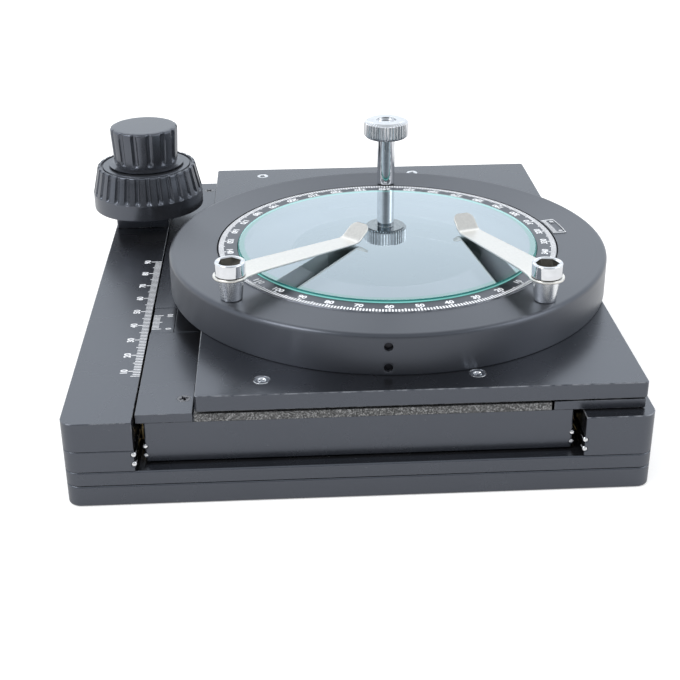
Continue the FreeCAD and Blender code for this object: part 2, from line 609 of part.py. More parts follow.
def ring_housing():
    outer = "ring_outer / 2"
    seat = "flange_outer / 2 + fit_play"
    body, turned = turned_section("housing_ring", [
        (seat, plate_top), (outer, plate_top), (outer, ring_top), ("dial_outer / 2 + dial_gap", ring_top),
        ("dial_outer / 2 + dial_gap", ledge_top), ("hub_outer / 2 + hub_play", ledge_top),
        ("hub_outer / 2 + hub_play", ledge_low), (seat, ledge_low)])
    top = turned.Shape.BoundBox.ZMax
    wide = turned.Shape.BoundBox.XMax
    round_edges(body, "housing_round", turned, "ring_round",
                lambda e: e.BoundBox.ZMin > top - 1e-6 and e.BoundBox.XMax > wide - 1e-6)
    place(body, "ring_x", "ring_y", "0")
    tools = []
    for i, (angle, height, inner) in enumerate(set_screw_places()):
        tools.append(radial(f"set_screw_bore_{i}", "setscrew / 2", angle, height, f"{inner} - 1", f"{outer} + 1"))
    for side, angle in (("left", left_post), ("right", right_post)):
        tools.append(rod(f"post_bore_{side}", "z", "clip_screw / 2", x=f"ring_x + post_radius * cos{angle}",
                         y=f"ring_y + post_radius * sin{angle}", z=(f"{ring_top} - clip_screw_depth", f"{ring_top} + 1")))
    tools.append(rod("lock_bore", "z", "lock_thread / 2 + run_play", x="ring_x + lock_radius * cos(ring_turn + 90)",
                     y="ring_y + lock_radius * sin(ring_turn + 90)",
                     z=(f"{ring_top} - lock_thread_depth - run_gap", f"{ring_top} + 1")))
    keep(cut("ring_housing", body, tools), "ring_housing")

    screws = [radial(f"set_screw_{i}", "setscrew / 2", angle, height, inner, f"{outer} - setscrew_recess")
              for i, (angle, height, inner) in enumerate(set_screw_places())]
    keep(several("housing_set_screws", screws), "housing_set_screws")

    flange = cut("ring_flange", rod("flange_disc", "z", "flange_outer / 2", x="ring_x", y="ring_y",
                                    z=(plate_top, f"{plate_top} + flange_height")),
                 [rod("flange_hole", "z", "flange_outer / 2 - flange_wall", x="ring_x", y="ring_y",
                      z=(f"{plate_top} - 1", f"{ledge_low}"))])
    keep(flange, "ring_flange")
    inner = "hub_outer / 2 + hub_play"
    slip = cut("bearing_ring", rod("bearing_disc", "z", "dial_outer / 2", x="ring_x", y="ring_y",
                                   z=(ledge_top, f"{ledge_top} + bearing_thick")),
               [rod("bearing_hole", "z", inner, x="ring_x", y="ring_y", z=(f"{ledge_top} - 1", f"{dial_top}"))])
    keep(slip, "bearing_ring")


# Turning dial with its glass and the ring that holds it down
def rotor():
    hub = "hub_outer / 2"
    seat = "glass_outer / 2 + glass_play"
    floor = f"{glass_low} - glass_floor"
    body, turned = turned_section("dial_ring", [
        ("light_hole / 2", floor), (f"{hub} - hub_wall", floor), (f"{hub} - hub_wall", hub_low), (hub, hub_low),
        (hub, flange_low), ("dial_outer / 2", flange_low), ("dial_outer / 2", dial_top), (seat, dial_top),
        (seat, glass_low), ("light_hole / 2", glass_low)])
    place(body, "ring_x", "ring_y", "0")
    keep(body, "dial_ring")
    keep(rod("glass_disc", "z", "glass_outer / 2", x="ring_x", y="ring_y", z=(glass_low, glass_top)), "glass_disc")
    ring = cut("retaining_ring", rod("retaining_disc", "z", "retainer_outer / 2", x="ring_x", y="ring_y",
                                     z=(f"{hub_low} - retainer_thick", hub_low)),
               [rod("retaining_hole", "z", f"{hub} - hub_wall", x="ring_x", y="ring_y",
                    z=(f"{hub_low} - retainer_thick - 1", dial_top))])
    keep(ring, "retaining_ring")


# Spring clips on their tapered sleeves, each held by a cap screw
def clip(side, post, direction):
    x = f"ring_x + post_radius * cos{post}"
    y = f"ring_y + post_radius * sin{post}"
    sleeve = taper(f"sleeve_{side}", "sleeve_foot / 2", "sleeve_top / 2", x, y, (ring_top, sleeve_end))
    bore = rod(f"sleeve_bore_{side}", "z", "clip_screw / 2", x=x, y=y, z=(f"{ring_top} - 1", f"{sleeve_end} + 1"))
    keep(cut(f"clip_sleeve_{side}", sleeve, [bore]), f"clip_sleeve_{side}")

    head = rod(f"cap_{side}", "z", "cap_head / 2", x=x, y=y, z=(cap_low, f"{cap_low} + cap_height"))
    socket = doc.addObject("Part::Prism", f"cap_socket_{side}")
    socket.Polygon = 6
    socket.setExpression("Circumradius", bound("cap_socket / 2 / cos(30)"))
    socket.setExpression("Height", bound("socket_depth + 1"))
    place(socket, x, y, f"{cap_low} + cap_height - socket_depth")
    stem = rod(f"cap_stem_{side}", "z", "clip_screw / 2", x=x, y=y, z=(f"{ring_top} - clip_screw_depth", cap_low))
    keep(union(f"clip_screw_{side}", [cut(f"cap_{side}_cut", head, [socket]), stem]), f"clip_screw_{side}")

    drop = f"({clip_low} - {glass_top} - clip_lift)"
    end = "(clip_reach + clip_tip)"
    strip = new_body(f"clip_side_{side}")
    drawn = new_sketch(strip, f"clip_side_{side}_sketch", "XZ_Plane")
    bends = [("-clip_eye", "0"), ("clip_flat", "0"), ("clip_reach", f"-{drop}"), (end, f"clip_tip_rise - {drop}")]
    outline(drawn, bends + [(a, f"{b} + clip_thick") for a, b in reversed(bends)])
    pad(strip, f"clip_side_{side}_pad", drawn, "clip_eye * 2", middle=True)
    eye = rod(f"clip_eye_{side}", "z", "clip_eye / 2", x="0", y="0", z=(f"-{drop} - 1", f"clip_thick + 1"))
    end_round = rod(f"clip_end_{side}", "z", "clip_end_width / 2", x=f"{end} - clip_end_width / 2 - 0.1", y="0",
                    z=(f"-{drop} - 1", "clip_thick + 1"))
    arm = new_body(f"clip_arm_{side}")
    drawn = new_sketch(arm, f"clip_arm_{side}_sketch", "XY_Plane", f"-{drop} - 1")
    stop = f"{end} - clip_end_width / 2 - 0.1"
    outline(drawn, [("0", "-clip_width / 2"), (stop, "-clip_end_width / 2"), (stop, "clip_end_width / 2"),
                    ("0", "clip_width / 2")])
    pad(arm, f"clip_arm_{side}_pad", drawn, f"{drop} + clip_thick + 2")
    plan = union(f"clip_plan_{side}", [eye, arm, end_round])
    bent = doc.addObject("Part::Common", f"clip_bent_{side}")
    bent.Base = strip
    bent.Tool = plan
    hole = rod(f"clip_hole_{side}", "z", "clip_screw / 2 + run_play", x="0", y="0", z=("-1", "clip_thick + 1"))
    spring = cut(f"{side}_clip", bent, [hole])
    place(spring, x, y, clip_low, direction)
    keep(spring, f"{side}_clip")


# Knurled screw that locks the turntable
def lock_screw():
    start = f"{ring_top} + lock_lift"
    body = new_body("lock_knob")
    drawn = new_sketch(body, "lock_knob_sketch", "XZ_Plane")
    head = f"{start} + lock_length"
    top = f"{head} + lock_head_height"
    outline(drawn, [("0", f"{ring_top} - lock_thread_depth"), ("lock_thread / 2", f"{ring_top} - lock_thread_depth"),
                    ("lock_thread / 2", start), ("lock_shaft / 2", start), ("lock_shaft / 2", head),
                    ("lock_head / 2 - 0.5", head), ("lock_head / 2", f"{head} + 0.5"), ("lock_head / 2", f"{top} - 0.5"),
                    ("lock_head / 2 - 0.5", top), ("lock_recess / 2", top), ("lock_recess / 2", f"{top} - recess_depth"),
                    ("0", f"{top} - recess_depth")])
    revolve(body, "lock_turned", drawn)
    notch = new_sketch(body, "lock_notch_sketch", "XY_Plane", top)
    circle(notch, "lock_head / 2 + knurl_depth", "0", "knurl_depth * 2")
    groove = pocket(body, "lock_notch", notch, "lock_head_height")
    around(body, "lock_knurl", groove, notch, "lock_knurls")
    place(body, "ring_x + lock_radius * cos(ring_turn + 90)", "ring_y + lock_radius * sin(ring_turn + 90)", "0")
    keep(body, "lock_screw")


# Bearing seat and bush of the coaxial knobs
def knob_seat():
    seat = slab("seat_slab", (f"{left} + seat_inset", left_edge), ("knob_y - seat_depth / 2", "knob_y + seat_depth / 2"),
                (left_top, seat_top), "0.5")
    bore = rod("seat_bore", "z", "bush_outer / 2", x="knob_x", y="knob_y", z=(f"{left_top} - 1", f"{seat_top} + 1"))
    keep(cut("knob_seat", seat, [bore]), "knob_seat")
    sleeve = rod("bush_sleeve", "z", "bush_outer / 2", x="knob_x", y="knob_y", z=(well_top, seat_top))
    bore = rod("bush_hole", "z", "tube_outer / 2 + run_play", x="knob_x", y="knob_y",
               z=(f"{well_top} - 1", f"{seat_top} + 1"))
    keep(cut("shaft_bush", sleeve, [bore]), "shaft_bush")


# Knobs with slanted flutes
def fluted_knob(name, profile, low_ring, high_ring, flute, count, low, high):
    """Turned profile with tapered round flutes cut between two heights."""
    body = new_body(name + "_body")
    drawn = new_sketch(body, name + "_profile", "XZ_Plane")
    outline(drawn, profile)
    turned = revolve(body, name + "_turned", drawn)
    lower = new_sketch(body, name + "_flute_low", "XY_Plane", low)
    circle(lower, low_ring, "0", flute)
    upper = new_sketch(body, name + "_flute_high", "XY_Plane", high)
    circle(upper, high_ring, "0", flute)
    groove = body.newObject("PartDesign::SubtractiveLoft", name + "_flute")
    groove.Profile = lower
    groove.Sections = [upper]
    doc.recompute()
    if groove.Shape.Volume > turned.Shape.Volume - 1e-6:
        raise RuntimeError(f"{name} flute removes nothing")
    around(body, name + "_flutes", groove, lower, count)
    place(body, "knob_x", "knob_y", "0")
    return body


def knobs():
    rim = "low_knob_rim / 2"
    wide = "low_knob / 2"
    band = f"({low_knob_low} + low_knob_band)"
    top = low_knob_top
    profile = [("tube_outer / 2", low_knob_low), (f"{wide} - 0.5", low_knob_low), (f"{wide}", f"{low_knob_low} + 0.5"),
               (wide, band), (rim, f"{top} - 0.5"), (f"{rim} - 0.5", top), (f"{rim} - 1.4", top),
               (f"{rim} - 1.7", f"{top} - 0.6"), (f"{rim} - 2.5", f"{top} - 0.6"), (f"{rim} - 2.8", top),
               ("tube_outer / 2", top)]
    knob = fluted_knob("y_knob", profile, f"{wide} + low_flute - flute_depth", f"{rim} + low_flute - flute_depth",
                       "low_flute", "low_flutes", f"{band} + 0.4", f"{top} + 0.2")
    keep(knob, "y_knob")
    wide = "high_knob / 2"
    top = f"({high_knob_low} + high_knob_height)"
    band = f"({high_knob_low} + collar_height)"
    profile = [("shaft / 2", high_knob_low), ("collar / 2", high_knob_low), ("collar / 2", band),
               (wide, f"{band} + 0.4"), (f"{wide} - 0.3", f"{top} - knob_round"), (f"{wide} - 0.3 - knob_round", top),
               ("0", top), ("0", f"{top} - 2"), ("shaft / 2", f"{top} - 2")]
    knob = fluted_knob("x_knob", profile, f"{wide} + high_flute - flute_depth", f"{wide} - 0.3 + high_flute - flute_depth",
                       "high_flute", "high_flutes", f"{band} + 1", f"{top} + 0.2")
    keep(knob, "x_knob")


# Gear teeth. A pinion is a disc with its tooth gaps cut away, a rack a bar with the same gaps
def tooth_gap_sketch(drawn, radius, lean):
    """Trapezoid between two teeth, pointing along the sketch's X, widest at the tips."""
    def half(depth):
        return f"(pi * gear_module / 4 + backlash / 4 + ({depth}) * tan({lean}))"
    foot = "(-1.2 * gear_module)"
    tip = "(gear_module * 0.9 + 0.2)"
    outline(drawn, [(f"{radius} + {foot}", f"-{half(foot)}"), (f"{radius} + {tip}", f"-{half(tip)}"),
                    (f"{radius} + {tip}", half(tip)), (f"{radius} + {foot}", half(foot))])


def pinion(name, teeth, length):
    body = new_body(name)
    drawn = new_sketch(body, name + "_disc", "XY_Plane")
    pitch = f"(gear_module * {teeth} / 2)"
    circle(drawn, "0", "0", f"{pitch} + gear_module * 0.9")
    pad(body, name + "_pad", drawn, length)
    gap = new_sketch(body, name + "_gap", "XY_Plane")
    tooth_gap_sketch(gap, pitch, f"flank_angle + 90 / {teeth}")
    groove = pocket(body, name + "_groove", gap, length, reverse=True)
    around(body, name + "_teeth", groove, gap, teeth)
    return body


def rack(name, back_width, face, span, lead):
    """Bar along Y with its teeth towards negative X and its pitch line at the body's origin."""
    body = new_body(name)
    drawn = new_sketch(body, name + "_bar", "XY_Plane")
    outline(drawn, [("-gear_module * 0.9", "0"), (back_width, "0"), (back_width, span), ("-gear_module * 0.9", span)])
    pad(body, name + "_pad", drawn, face)
    gap = new_sketch(body, name + "_gap", "XY_Plane")
    pitch = "(pi * gear_module)"

    def half(depth):
        return f"(pi * gear_module / 4 + backlash / 4 + ({depth}) * tan(flank_angle))"
    foot = "(1.2 * gear_module)"
    tip = "(-gear_module * 0.9 - 0.2)"
    outline(gap, [(foot, f"{lead} - {half('-1.2 * gear_module')}"), (foot, f"{lead} + {half('-1.2 * gear_module')}"),
                  (tip, f"{lead} + {half('gear_module * 0.9 + 0.2')}"),
                  (tip, f"{lead} - {half('gear_module * 0.9 + 0.2')}")])
    groove = pocket(body, name + "_groove", gap, face, reverse=True)
    run = body.newObject("PartDesign::LinearPattern", name + "_teeth")
    run.Originals = [groove]
    run.Direction = (gap, ["V_Axis"])
    doc.recompute()
    steps = f"floor(({span} - {lead}) / {pitch})"
    run.setExpression("Occurrences", bound(f"{steps} + 1"))
    run.setExpression("Length", bound(f"{steps} * {pitch}"))
    body.Tip = run
    doc.recompute()
    return body


def mitre(name, tooth_turn, spot, turn):
    """Mitre gear whose teeth all point at the crossing of the two axes."""
    teeth = int(size("mitre_teeth"))
    wide = size("mitre_radius")
    step = math.tau / teeth
    ends = []
    for distance in (wide, wide * size("mitre_small")):
        corners = []
        for i in range(teeth):
            middle = step * i + math.radians(tooth_turn)
            for ratio, angle in ((0.8, -0.3), (1.2, -0.115), (1.2, 0.115), (0.8, 0.3)):
                at = middle + angle * step
                corners.append(V(ratio * distance * math.cos(at), ratio * distance * math.sin(at), distance))
        ends.append(Part.makePolygon(corners + corners[:1]))
    gear = doc.addObject("Part::Feature", name)
    gear.Shape = Part.makeLoft(ends, True, True)
    gear.Placement = FreeCAD.Placement(V(0, 0, 0), turn)
    for letter, text in zip("xyz", spot):
        gear.setExpression("Placement.Base." + letter, bound(text))
    return gear


upright_turn = FreeCAD.Rotation()
axis_to_right = FreeCAD.Rotation(V(1, 1, 1), 120)
axis_to_left = FreeCAD.Rotation(V(0, 1, 0), -90)
axis_to_front = FreeCAD.Rotation(V(1, 0, 0), 90)
axis_to_back = FreeCAD.Rotation(V(1, 1, 1), 240)


# Y drive, from the tube of the lower knob to the rack on the slide
def y_drive():
    wheel = pinion("y_pinion", "y_teeth", "y_face")
    place(wheel, "knob_x", "knob_y", y_rack_low)
    tube = rod("y_tube", "z", "tube_outer / 2", x="knob_x", y="knob_y", z=(y_rack_low, low_knob_top))
    bore = rod("y_tube_bore", "z", bore_play, x="knob_x", y="knob_y", z=(f"{y_rack_low} - 1", f"{low_knob_top} + 1"))
    keep(cut("y_shaft", union("y_shaft_solid", [wheel, tube]), [bore]), "y_shaft")
    length = "(y_max - y_min + rack_end * 2)"
    lead = "mod(y_max + rack_end + pi * gear_module / 2; pi * gear_module)"
    bar = rack("y_rack", f"{slide_left} + y_rack_back - {y_rack_line}", "y_face", length, lead)
    place(bar, y_rack_line, y_rack_start, y_rack_low)
    keep(bar, "y_rack")


# X drive, from the inner shaft round two corners to the long pinion and the rack under the top plate
def x_drive():
    corner = ("knob_x", "knob_y", "x_axis_height")
    far = ("pinion_x", "knob_y", "x_axis_height")
    high_top = f"({high_knob_low} + high_knob_height)"
    stem = rod("x_stem", "z", "shaft / 2", x="knob_x", y="knob_y", z=("x_axis_height + mitre_radius", f"{high_top} - 2"))
    keep(union("x_shaft", [stem, mitre("x_shaft_mitre", 0, corner, upright_turn)]), "x_shaft")
    line = rod("cross_line", "x", "shaft / 2", y="knob_y", z="x_axis_height",
               x=("knob_x + mitre_radius", "pinion_x - mitre_radius"))
    keep(union("x_cross_shaft", [line, mitre("cross_near", 15, corner, axis_to_right),
                                 mitre("cross_far", 0, far, axis_to_left)]), "x_cross_shaft")
    wheel = pinion("long_pinion", "x_teeth", f"{pinion_back} - {pinion_front}")
    wheel.Placement = FreeCAD.Placement(V(0, 0, 0), axis_to_back)
    place(wheel, "pinion_x", pinion_front, "x_axis_height")
    journals = rod("pinion_journals", "y", "shaft / 2", x="pinion_x", z="x_axis_height",
                   y=(f"{pinion_front} - gear_room - journal", "knob_y - mitre_radius"))
    keep(union("x_long_pinion", [wheel, journals, mitre("pinion_mitre", 15, far, axis_to_front)]), "x_long_pinion")
    length = "(x_max - x_min + rack_end * 2)"
    lead = "mod(x_max + rack_end + pi * gear_module / 2; pi * gear_module)"
    bar = rack("x_rack", f"{plate_low} - x_axis_height - {x_pitch}", "x_rack_width", length, lead)
    bar.Placement = FreeCAD.Placement(V(0, 0, 0), axis_to_back)
    place(bar, x_rack_start, "x_rack_y", f"x_axis_height + {x_pitch}")
    keep(bar, "x_rack")


# Balls and the cages that space them
def ball_ways(tag, axis, lines, height, start, length, count):
    across = "y" if axis == "x" else "x"
    cages = []
    balls = []
    for i, line in enumerate(lines):
        bounds = {axis: (start, f"{start} + {length}"), across: (f"{line} - cage_thick / 2", f"{line} + cage_thick / 2"),
                  "z": (f"{height} - cage_height / 2", f"{height} + cage_height / 2")}
        strip = block(f"{tag}_strip_{i}", bounds["x"], bounds["y"], bounds["z"])
        holes = []
        for k in range(int(size(count))):
            along = f"{start} + {length} * {k + 0.5} / {count}"
            at = {axis: along, across: (f"{line} - ball", f"{line} + ball"), "z": height}
            holes.append(rod(f"{tag}_hole_{i}_{k}", across, "ball / 2 + cage_play", **at))
            ball = doc.addObject("Part::Sphere", f"{tag}_ball_{i}_{k}")
            ball.setExpression("Radius", bound("ball / 2"))
            spot = {axis: along, across: line, "z": height}
            balls.append(place(ball, spot["x"], spot["y"], spot["z"]))
        cages.append(cut(f"{tag}_cage_{i}", strip, holes))
    keep(several(f"{tag}_ball_cages", cages), f"{tag}_ball_cages")
    keep(several(f"{tag}_balls", balls), f"{tag}_balls")


bottom_plate()
base_plate()
base_screws()
rail_blocks()
knob_seat()
y_slide()
covers()
x_plate()
ring_housing()
rotor()
clip("left", left_post, "left_clip_angle")
clip("right", right_post, "right_clip_angle")
lock_screw()
knobs()
y_drive()
x_drive()
ball_ways("y", "y", [left_way, right_way], "y_way_height", "y_cage_start", "y_cage_length", "y_balls")
ball_ways("x", "x", ["front_way", "rear_way"], "x_way_height", "(way_bar_left + x_cage_inset)",
          "(way_bar_length - x_cage_inset * 2)", "x_balls")
doc.recompute()

# Nothing is written unless every object and every piece came out sound
for item in doc.Objects:
    if "Invalid" in item.State or "Error" in item.State:
        raise RuntimeError(f"{item.Name} failed: {item.State}")
for piece in pieces:
    if piece.Shape.isNull() or not piece.Shape.isValid():
        raise RuntimeError(f"{piece.Label} is not a sound solid")
os.makedirs("parts", exist_ok=True)
for piece in pieces:
    piece.Shape.exportStep(f"parts/{piece.Label}.step")
    print(piece.Label, len(piece.Shape.Solids), round(piece.Shape.Volume, 2))
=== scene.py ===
import bpy
import bmesh
import json
import math
import numpy as np
from mathutils import Matrix, Vector


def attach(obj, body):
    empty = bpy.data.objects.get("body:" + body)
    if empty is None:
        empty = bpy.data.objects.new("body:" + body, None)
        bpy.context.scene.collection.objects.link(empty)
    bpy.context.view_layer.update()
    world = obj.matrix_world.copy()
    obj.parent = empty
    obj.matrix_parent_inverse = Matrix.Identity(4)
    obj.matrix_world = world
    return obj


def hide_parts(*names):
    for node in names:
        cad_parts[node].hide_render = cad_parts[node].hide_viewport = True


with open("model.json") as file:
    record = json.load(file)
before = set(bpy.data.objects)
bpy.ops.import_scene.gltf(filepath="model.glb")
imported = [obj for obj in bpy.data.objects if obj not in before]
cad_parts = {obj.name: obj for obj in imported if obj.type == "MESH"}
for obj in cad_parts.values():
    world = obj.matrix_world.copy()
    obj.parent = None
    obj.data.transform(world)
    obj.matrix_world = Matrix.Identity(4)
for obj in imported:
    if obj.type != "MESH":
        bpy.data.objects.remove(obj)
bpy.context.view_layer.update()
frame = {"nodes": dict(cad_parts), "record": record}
mm = 0.001
scene = bpy.context.scene
bodyOf = {node: body for body, nodes in frame["record"]["behaviour"]["bodies"].items() for node in nodes}
slotOf = {part["node"]: part["material_slot"] for part in frame["record"]["subparts"]}
print("frame loaded,", len(frame["nodes"]), "nodes")

ringCentre = np.array([-6.7, 2.1])    # turntable axis
knobCentre = np.array([-87.6, 74.4])
sharpDegrees = 34    # edges that turn further than this stay sharp
mergeWithin = 3e-6    # points closer than this, in metres, become one


# The camera stands where the scale and the straight edges of the photograph put it
view = dict(place=(-39.77, -362.19, 187.26), ahead=(0.04463, 0.89653, -0.44074), right=(0.99876, -0.04972, 0.0),
            roll=-0.46, lens=66.10)


def makeCamera():
    camera = bpy.data.objects.new("camera", bpy.data.cameras.new("camera"))
    scene.collection.objects.link(camera)
    scene.camera = camera
    camera.data.sensor_fit = "HORIZONTAL"
    camera.data.sensor_width = 36
    camera.data.lens = view["lens"]
    camera.data.clip_start, camera.data.clip_end = 0.01, 20
    ahead, right = Vector(view["ahead"]), Vector(view["right"])
    up = right.cross(ahead)
    turn = Matrix.Rotation(math.radians(view["roll"]), 3, -ahead)
    axes = Matrix((turn @ right, turn @ up, -ahead)).transposed()
    camera.matrix_world = Matrix.Translation(Vector(view["place"]) * mm) @ axes.to_4x4()


makeCamera()
scene.view_settings.view_transform = "Standard"
print("camera placed")


# Finishes. Each reads Object coordinates, which are metres in the shared frame
# Lighter edges, partly rubbed wear and partly painted highlight, lie above the height given below, since the seams
# lower down stay in shade
gloss = dict(tint=(0.80, 0.86, 1.0), ior=2.0, knobIor=1.95, wearAndSheenAbove=22)


def newFinish(name):
    material = bpy.data.materials.new(name)
    material.use_nodes = True
    nodes, links = material.node_tree.nodes, material.node_tree.links
    coords = nodes.new("ShaderNodeTexCoord").outputs["Object"]
    return material, nodes, links, nodes["Principled BSDF"], coords


def setShader(shader, **values):
    names = dict(metallic="Metallic", rough="Roughness", ior="IOR", specular="Specular IOR Level",
                 tint="Specular Tint", alpha="Alpha")
    for key, value in values.items():
        shader.inputs[names[key]].default_value = (*value, 1.0) if key == "tint" else value


def noiseOf(nodes, links, coords, scale, detail=3.0):
    noise = nodes.new("ShaderNodeTexNoise")
    noise.inputs["Scale"].default_value = scale
    noise.inputs["Detail"].default_value = detail
    links.new(coords, noise.inputs["Vector"])
    return noise.outputs["Fac"]


def rampOf(nodes, links, source, stops):
    ramp = nodes.new("ShaderNodeValToRGB")
    links.new(source, ramp.inputs["Fac"])
    elements = ramp.color_ramp.elements
    for _ in stops[2:]:
        elements.new(0.5)
    for element, (at, color) in zip(elements, stops):
        element.position = at
        element.color = (color, color, color, 1) if isinstance(color, float) else (*color, 1)
    return ramp.outputs["Color"]


def scaled(color, share):
    return tuple(min(1, c * share) for c in color)


def mathOf(nodes, links, operation, first, second=None, third=None):
    node = nodes.new("ShaderNodeMath")
    node.operation = operation
    for slot, value in zip(node.inputs, (first, second, third)):
        if value is None:
            continue
        if isinstance(value, (int, float)):
            slot.default_value = value
        else:
            links.new(value, slot)
    return node.outputs[0]


def mixOf(nodes, links, factor, first, second):
    mix = nodes.new("ShaderNodeMix")
    mix.data_type = "RGBA"
    links.new(factor, mix.inputs["Factor"])
    for slot, value in ((mix.inputs[6], first), (mix.inputs[7], second)):
        if isinstance(value, tuple):
            slot.default_value = (*value, 1)
        else:
            links.new(value, slot)
    return mix.outputs[2]


def bumpOf(nodes, links, shader, height, distance, strength=1.0):
    bump = nodes.new("ShaderNodeBump")
    bump.inputs["Distance"].default_value = distance * mm
    bump.inputs["Strength"].default_value = strength
    links.new(height, bump.inputs["Height"])
    links.new(bump.outputs["Normal"], shader.inputs["Normal"])


# The roughness swings about its middle value with a noise
def varyRough(nodes, links, shader, source, rough, spread):
    varied = mathOf(nodes, links, "MULTIPLY_ADD", source, spread, rough - spread / 2)
    links.new(varied, shader.inputs["Roughness"])


# Distance from the turntable axis, in metres
def axisDistance(nodes, links, coords):
    centre = nodes.new("ShaderNodeMapping")
    centre.inputs["Location"].default_value = (-ringCentre[0] * mm, -ringCentre[1] * mm, 0)
    centre.inputs["Scale"].default_value = (1, 1, 0)
    links.new(coords, centre.inputs["Vector"])
    distance = nodes.new("ShaderNodeVectorMath")
    distance.operation = "LENGTH"
    links.new(centre.outputs["Vector"], distance.inputs[0])
    return distance.outputs["Value"]


# Satin black anodised aluminium: fine blasted grain, faint cloudiness, lighter edges that are partly rubbed wear
# and partly painted highlight, a few bright specks
def anodised(name, color=(0.0078, 0.0080, 0.0092), rough=0.27, wearAndSheen=0.0):
    material, nodes, links, shader, coords = newFinish(name)
    setShader(shader, ior=gloss["ior"], tint=gloss["tint"])
    cloud = noiseOf(nodes, links, coords, 60, 4)
    shade = rampOf(nodes, links, cloud, [(0.3, scaled(color, 0.8)), (0.7, scaled(color, 1.25))])
    # The lighter edge colour is partly rubbed wear and partly a painted highlight, kept off the low seams, which
    # are in shade
    if wearAndSheen:
        split = nodes.new("ShaderNodeSeparateXYZ")
        links.new(coords, split.inputs["Vector"])
        high = mathOf(nodes, links, "GREATER_THAN", split.outputs["Z"], gloss["wearAndSheenAbove"] * mm)
        wearAndSheenMask = rampOf(nodes, links, noiseOf(nodes, links, coords, 420, 5), [(0.36, 0.0), (0.62, 1.0)])
        wearAndSheenMask = mathOf(nodes, links, "MULTIPLY", wearAndSheenMask, high)
        shade = mixOf(nodes, links, wearAndSheenMask, shade, (wearAndSheen, wearAndSheen * 1.02, wearAndSheen * 1.08))
    specks = rampOf(nodes, links, noiseOf(nodes, links, coords, 1700, 1), [(0.80, 0.0), (0.84, 1.0)])
    links.new(mixOf(nodes, links, specks, shade, (0.20, 0.21, 0.22)), shader.inputs["Base Color"])
    grain = noiseOf(nodes, links, coords, 3200, 2)
    varyRough(nodes, links, shader, cloud, rough, 0.08)
    bumpOf(nodes, links, shader, grain, 0.004, 0.5)
    return material


# The same finish over concentric tool marks about the turntable axis
def turnedAnodised(name, color=(0.0085, 0.0083, 0.0090), rough=0.30):
    material, nodes, links, shader, coords = newFinish(name)
    setShader(shader, ior=gloss["ior"], tint=gloss["tint"])
    around = nodes.new("ShaderNodeTangent")    # tool marks spread the gloss across them
    around.direction_type, around.axis = "RADIAL", "Z"
    links.new(around.outputs["Tangent"], shader.inputs["Tangent"])
    shader.inputs["Anisotropic"].default_value = 0.9
    shader.inputs["Anisotropic Rotation"].default_value = 0.25
    rings = nodes.new("ShaderNodeTexNoise")
    rings.noise_dimensions = "1D"
    rings.inputs["Scale"].default_value = 1500
    rings.inputs["Detail"].default_value = 2
    split = nodes.new("ShaderNodeSeparateXYZ")
    links.new(coords, split.inputs["Vector"])
    along = mathOf(nodes, links, "ADD", axisDistance(nodes, links, coords), split.outputs["Z"])
    links.new(along, rings.inputs["W"])
    cloud = noiseOf(nodes, links, coords, 55, 4)
    shade = rampOf(nodes, links, cloud, [(0.3, scaled(color, 0.88)), (0.7, scaled(color, 1.15))])
    links.new(shade, shader.inputs["Base Color"])
    varyRough(nodes, links, shader, rings.outputs["Fac"], rough, 0.04)
    bumpOf(nodes, links, shader, rings.outputs["Fac"], 0.0012, 0.4)
    return material


# Plated or ground metal with a slight unevenness in its gloss
def metal(name, color, rough, scale=500, spread=0.10, bump=0.0):
    material, nodes, links, shader, coords = newFinish(name)
    setShader(shader, metallic=1.0)
    grain = noiseOf(nodes, links, coords, scale)
    shade = rampOf(nodes, links, grain, [(0.3, scaled(color, 0.93)), (0.7, scaled(color, 1.04))])
    links.new(shade, shader.inputs["Base Color"])
    varyRough(nodes, links, shader, grain, rough, spread)
    if bump:
        bumpOf(nodes, links, shader, grain, bump, 0.6)
    return material


# Bead-blasted strip that glitters
def blasted(name):
    material, nodes, links, shader, coords = newFinish(name)
    setShader(shader, metallic=0.55)
    grain = noiseOf(nodes, links, coords, 2600, 3)
    shade = rampOf(nodes, links, grain, [(0.34, 0.045), (0.52, 0.12), (0.68, 0.36)])
    links.new(shade, shader.inputs["Base Color"])
    varyRough(nodes, links, shader, grain, 0.53, -0.3)    # the high grains shine most
    bumpOf(nodes, links, shader, grain, 0.05, 0.8)
    return material


# Moulded plastic of the knobs
def plastic(name, color=(0.024, 0.0252, 0.0290), rough=0.25):
    material, nodes, links, shader, coords = newFinish(name)
    setShader(shader, ior=gloss["knobIor"], tint=gloss["tint"])
    cloud = noiseOf(nodes, links, coords, 130, 3)
    shade = rampOf(nodes, links, cloud, [(0.3, scaled(color, 0.85)), (0.75, scaled(color, 1.3))])
    links.new(shade, shader.inputs["Base Color"])
    varyRough(nodes, links, shader, cloud, rough, 0.08)
    bumpOf(nodes, links, shader, noiseOf(nodes, links, coords, 1800, 2), 0.004, 0.3)
    return material


# Filling of the engraved marks, slightly worn
def paint(name, color=(0.90, 0.92, 0.96)):
    material, nodes, links, shader, coords = newFinish(name)
    setShader(shader, rough=0.55)
    wear = noiseOf(nodes, links, coords, 1200, 3)
    shade = rampOf(nodes, links, wear, [(0.25, scaled(color, 0.8)), (0.5, color)])
    links.new(shade, shader.inputs["Base Color"])
    return material


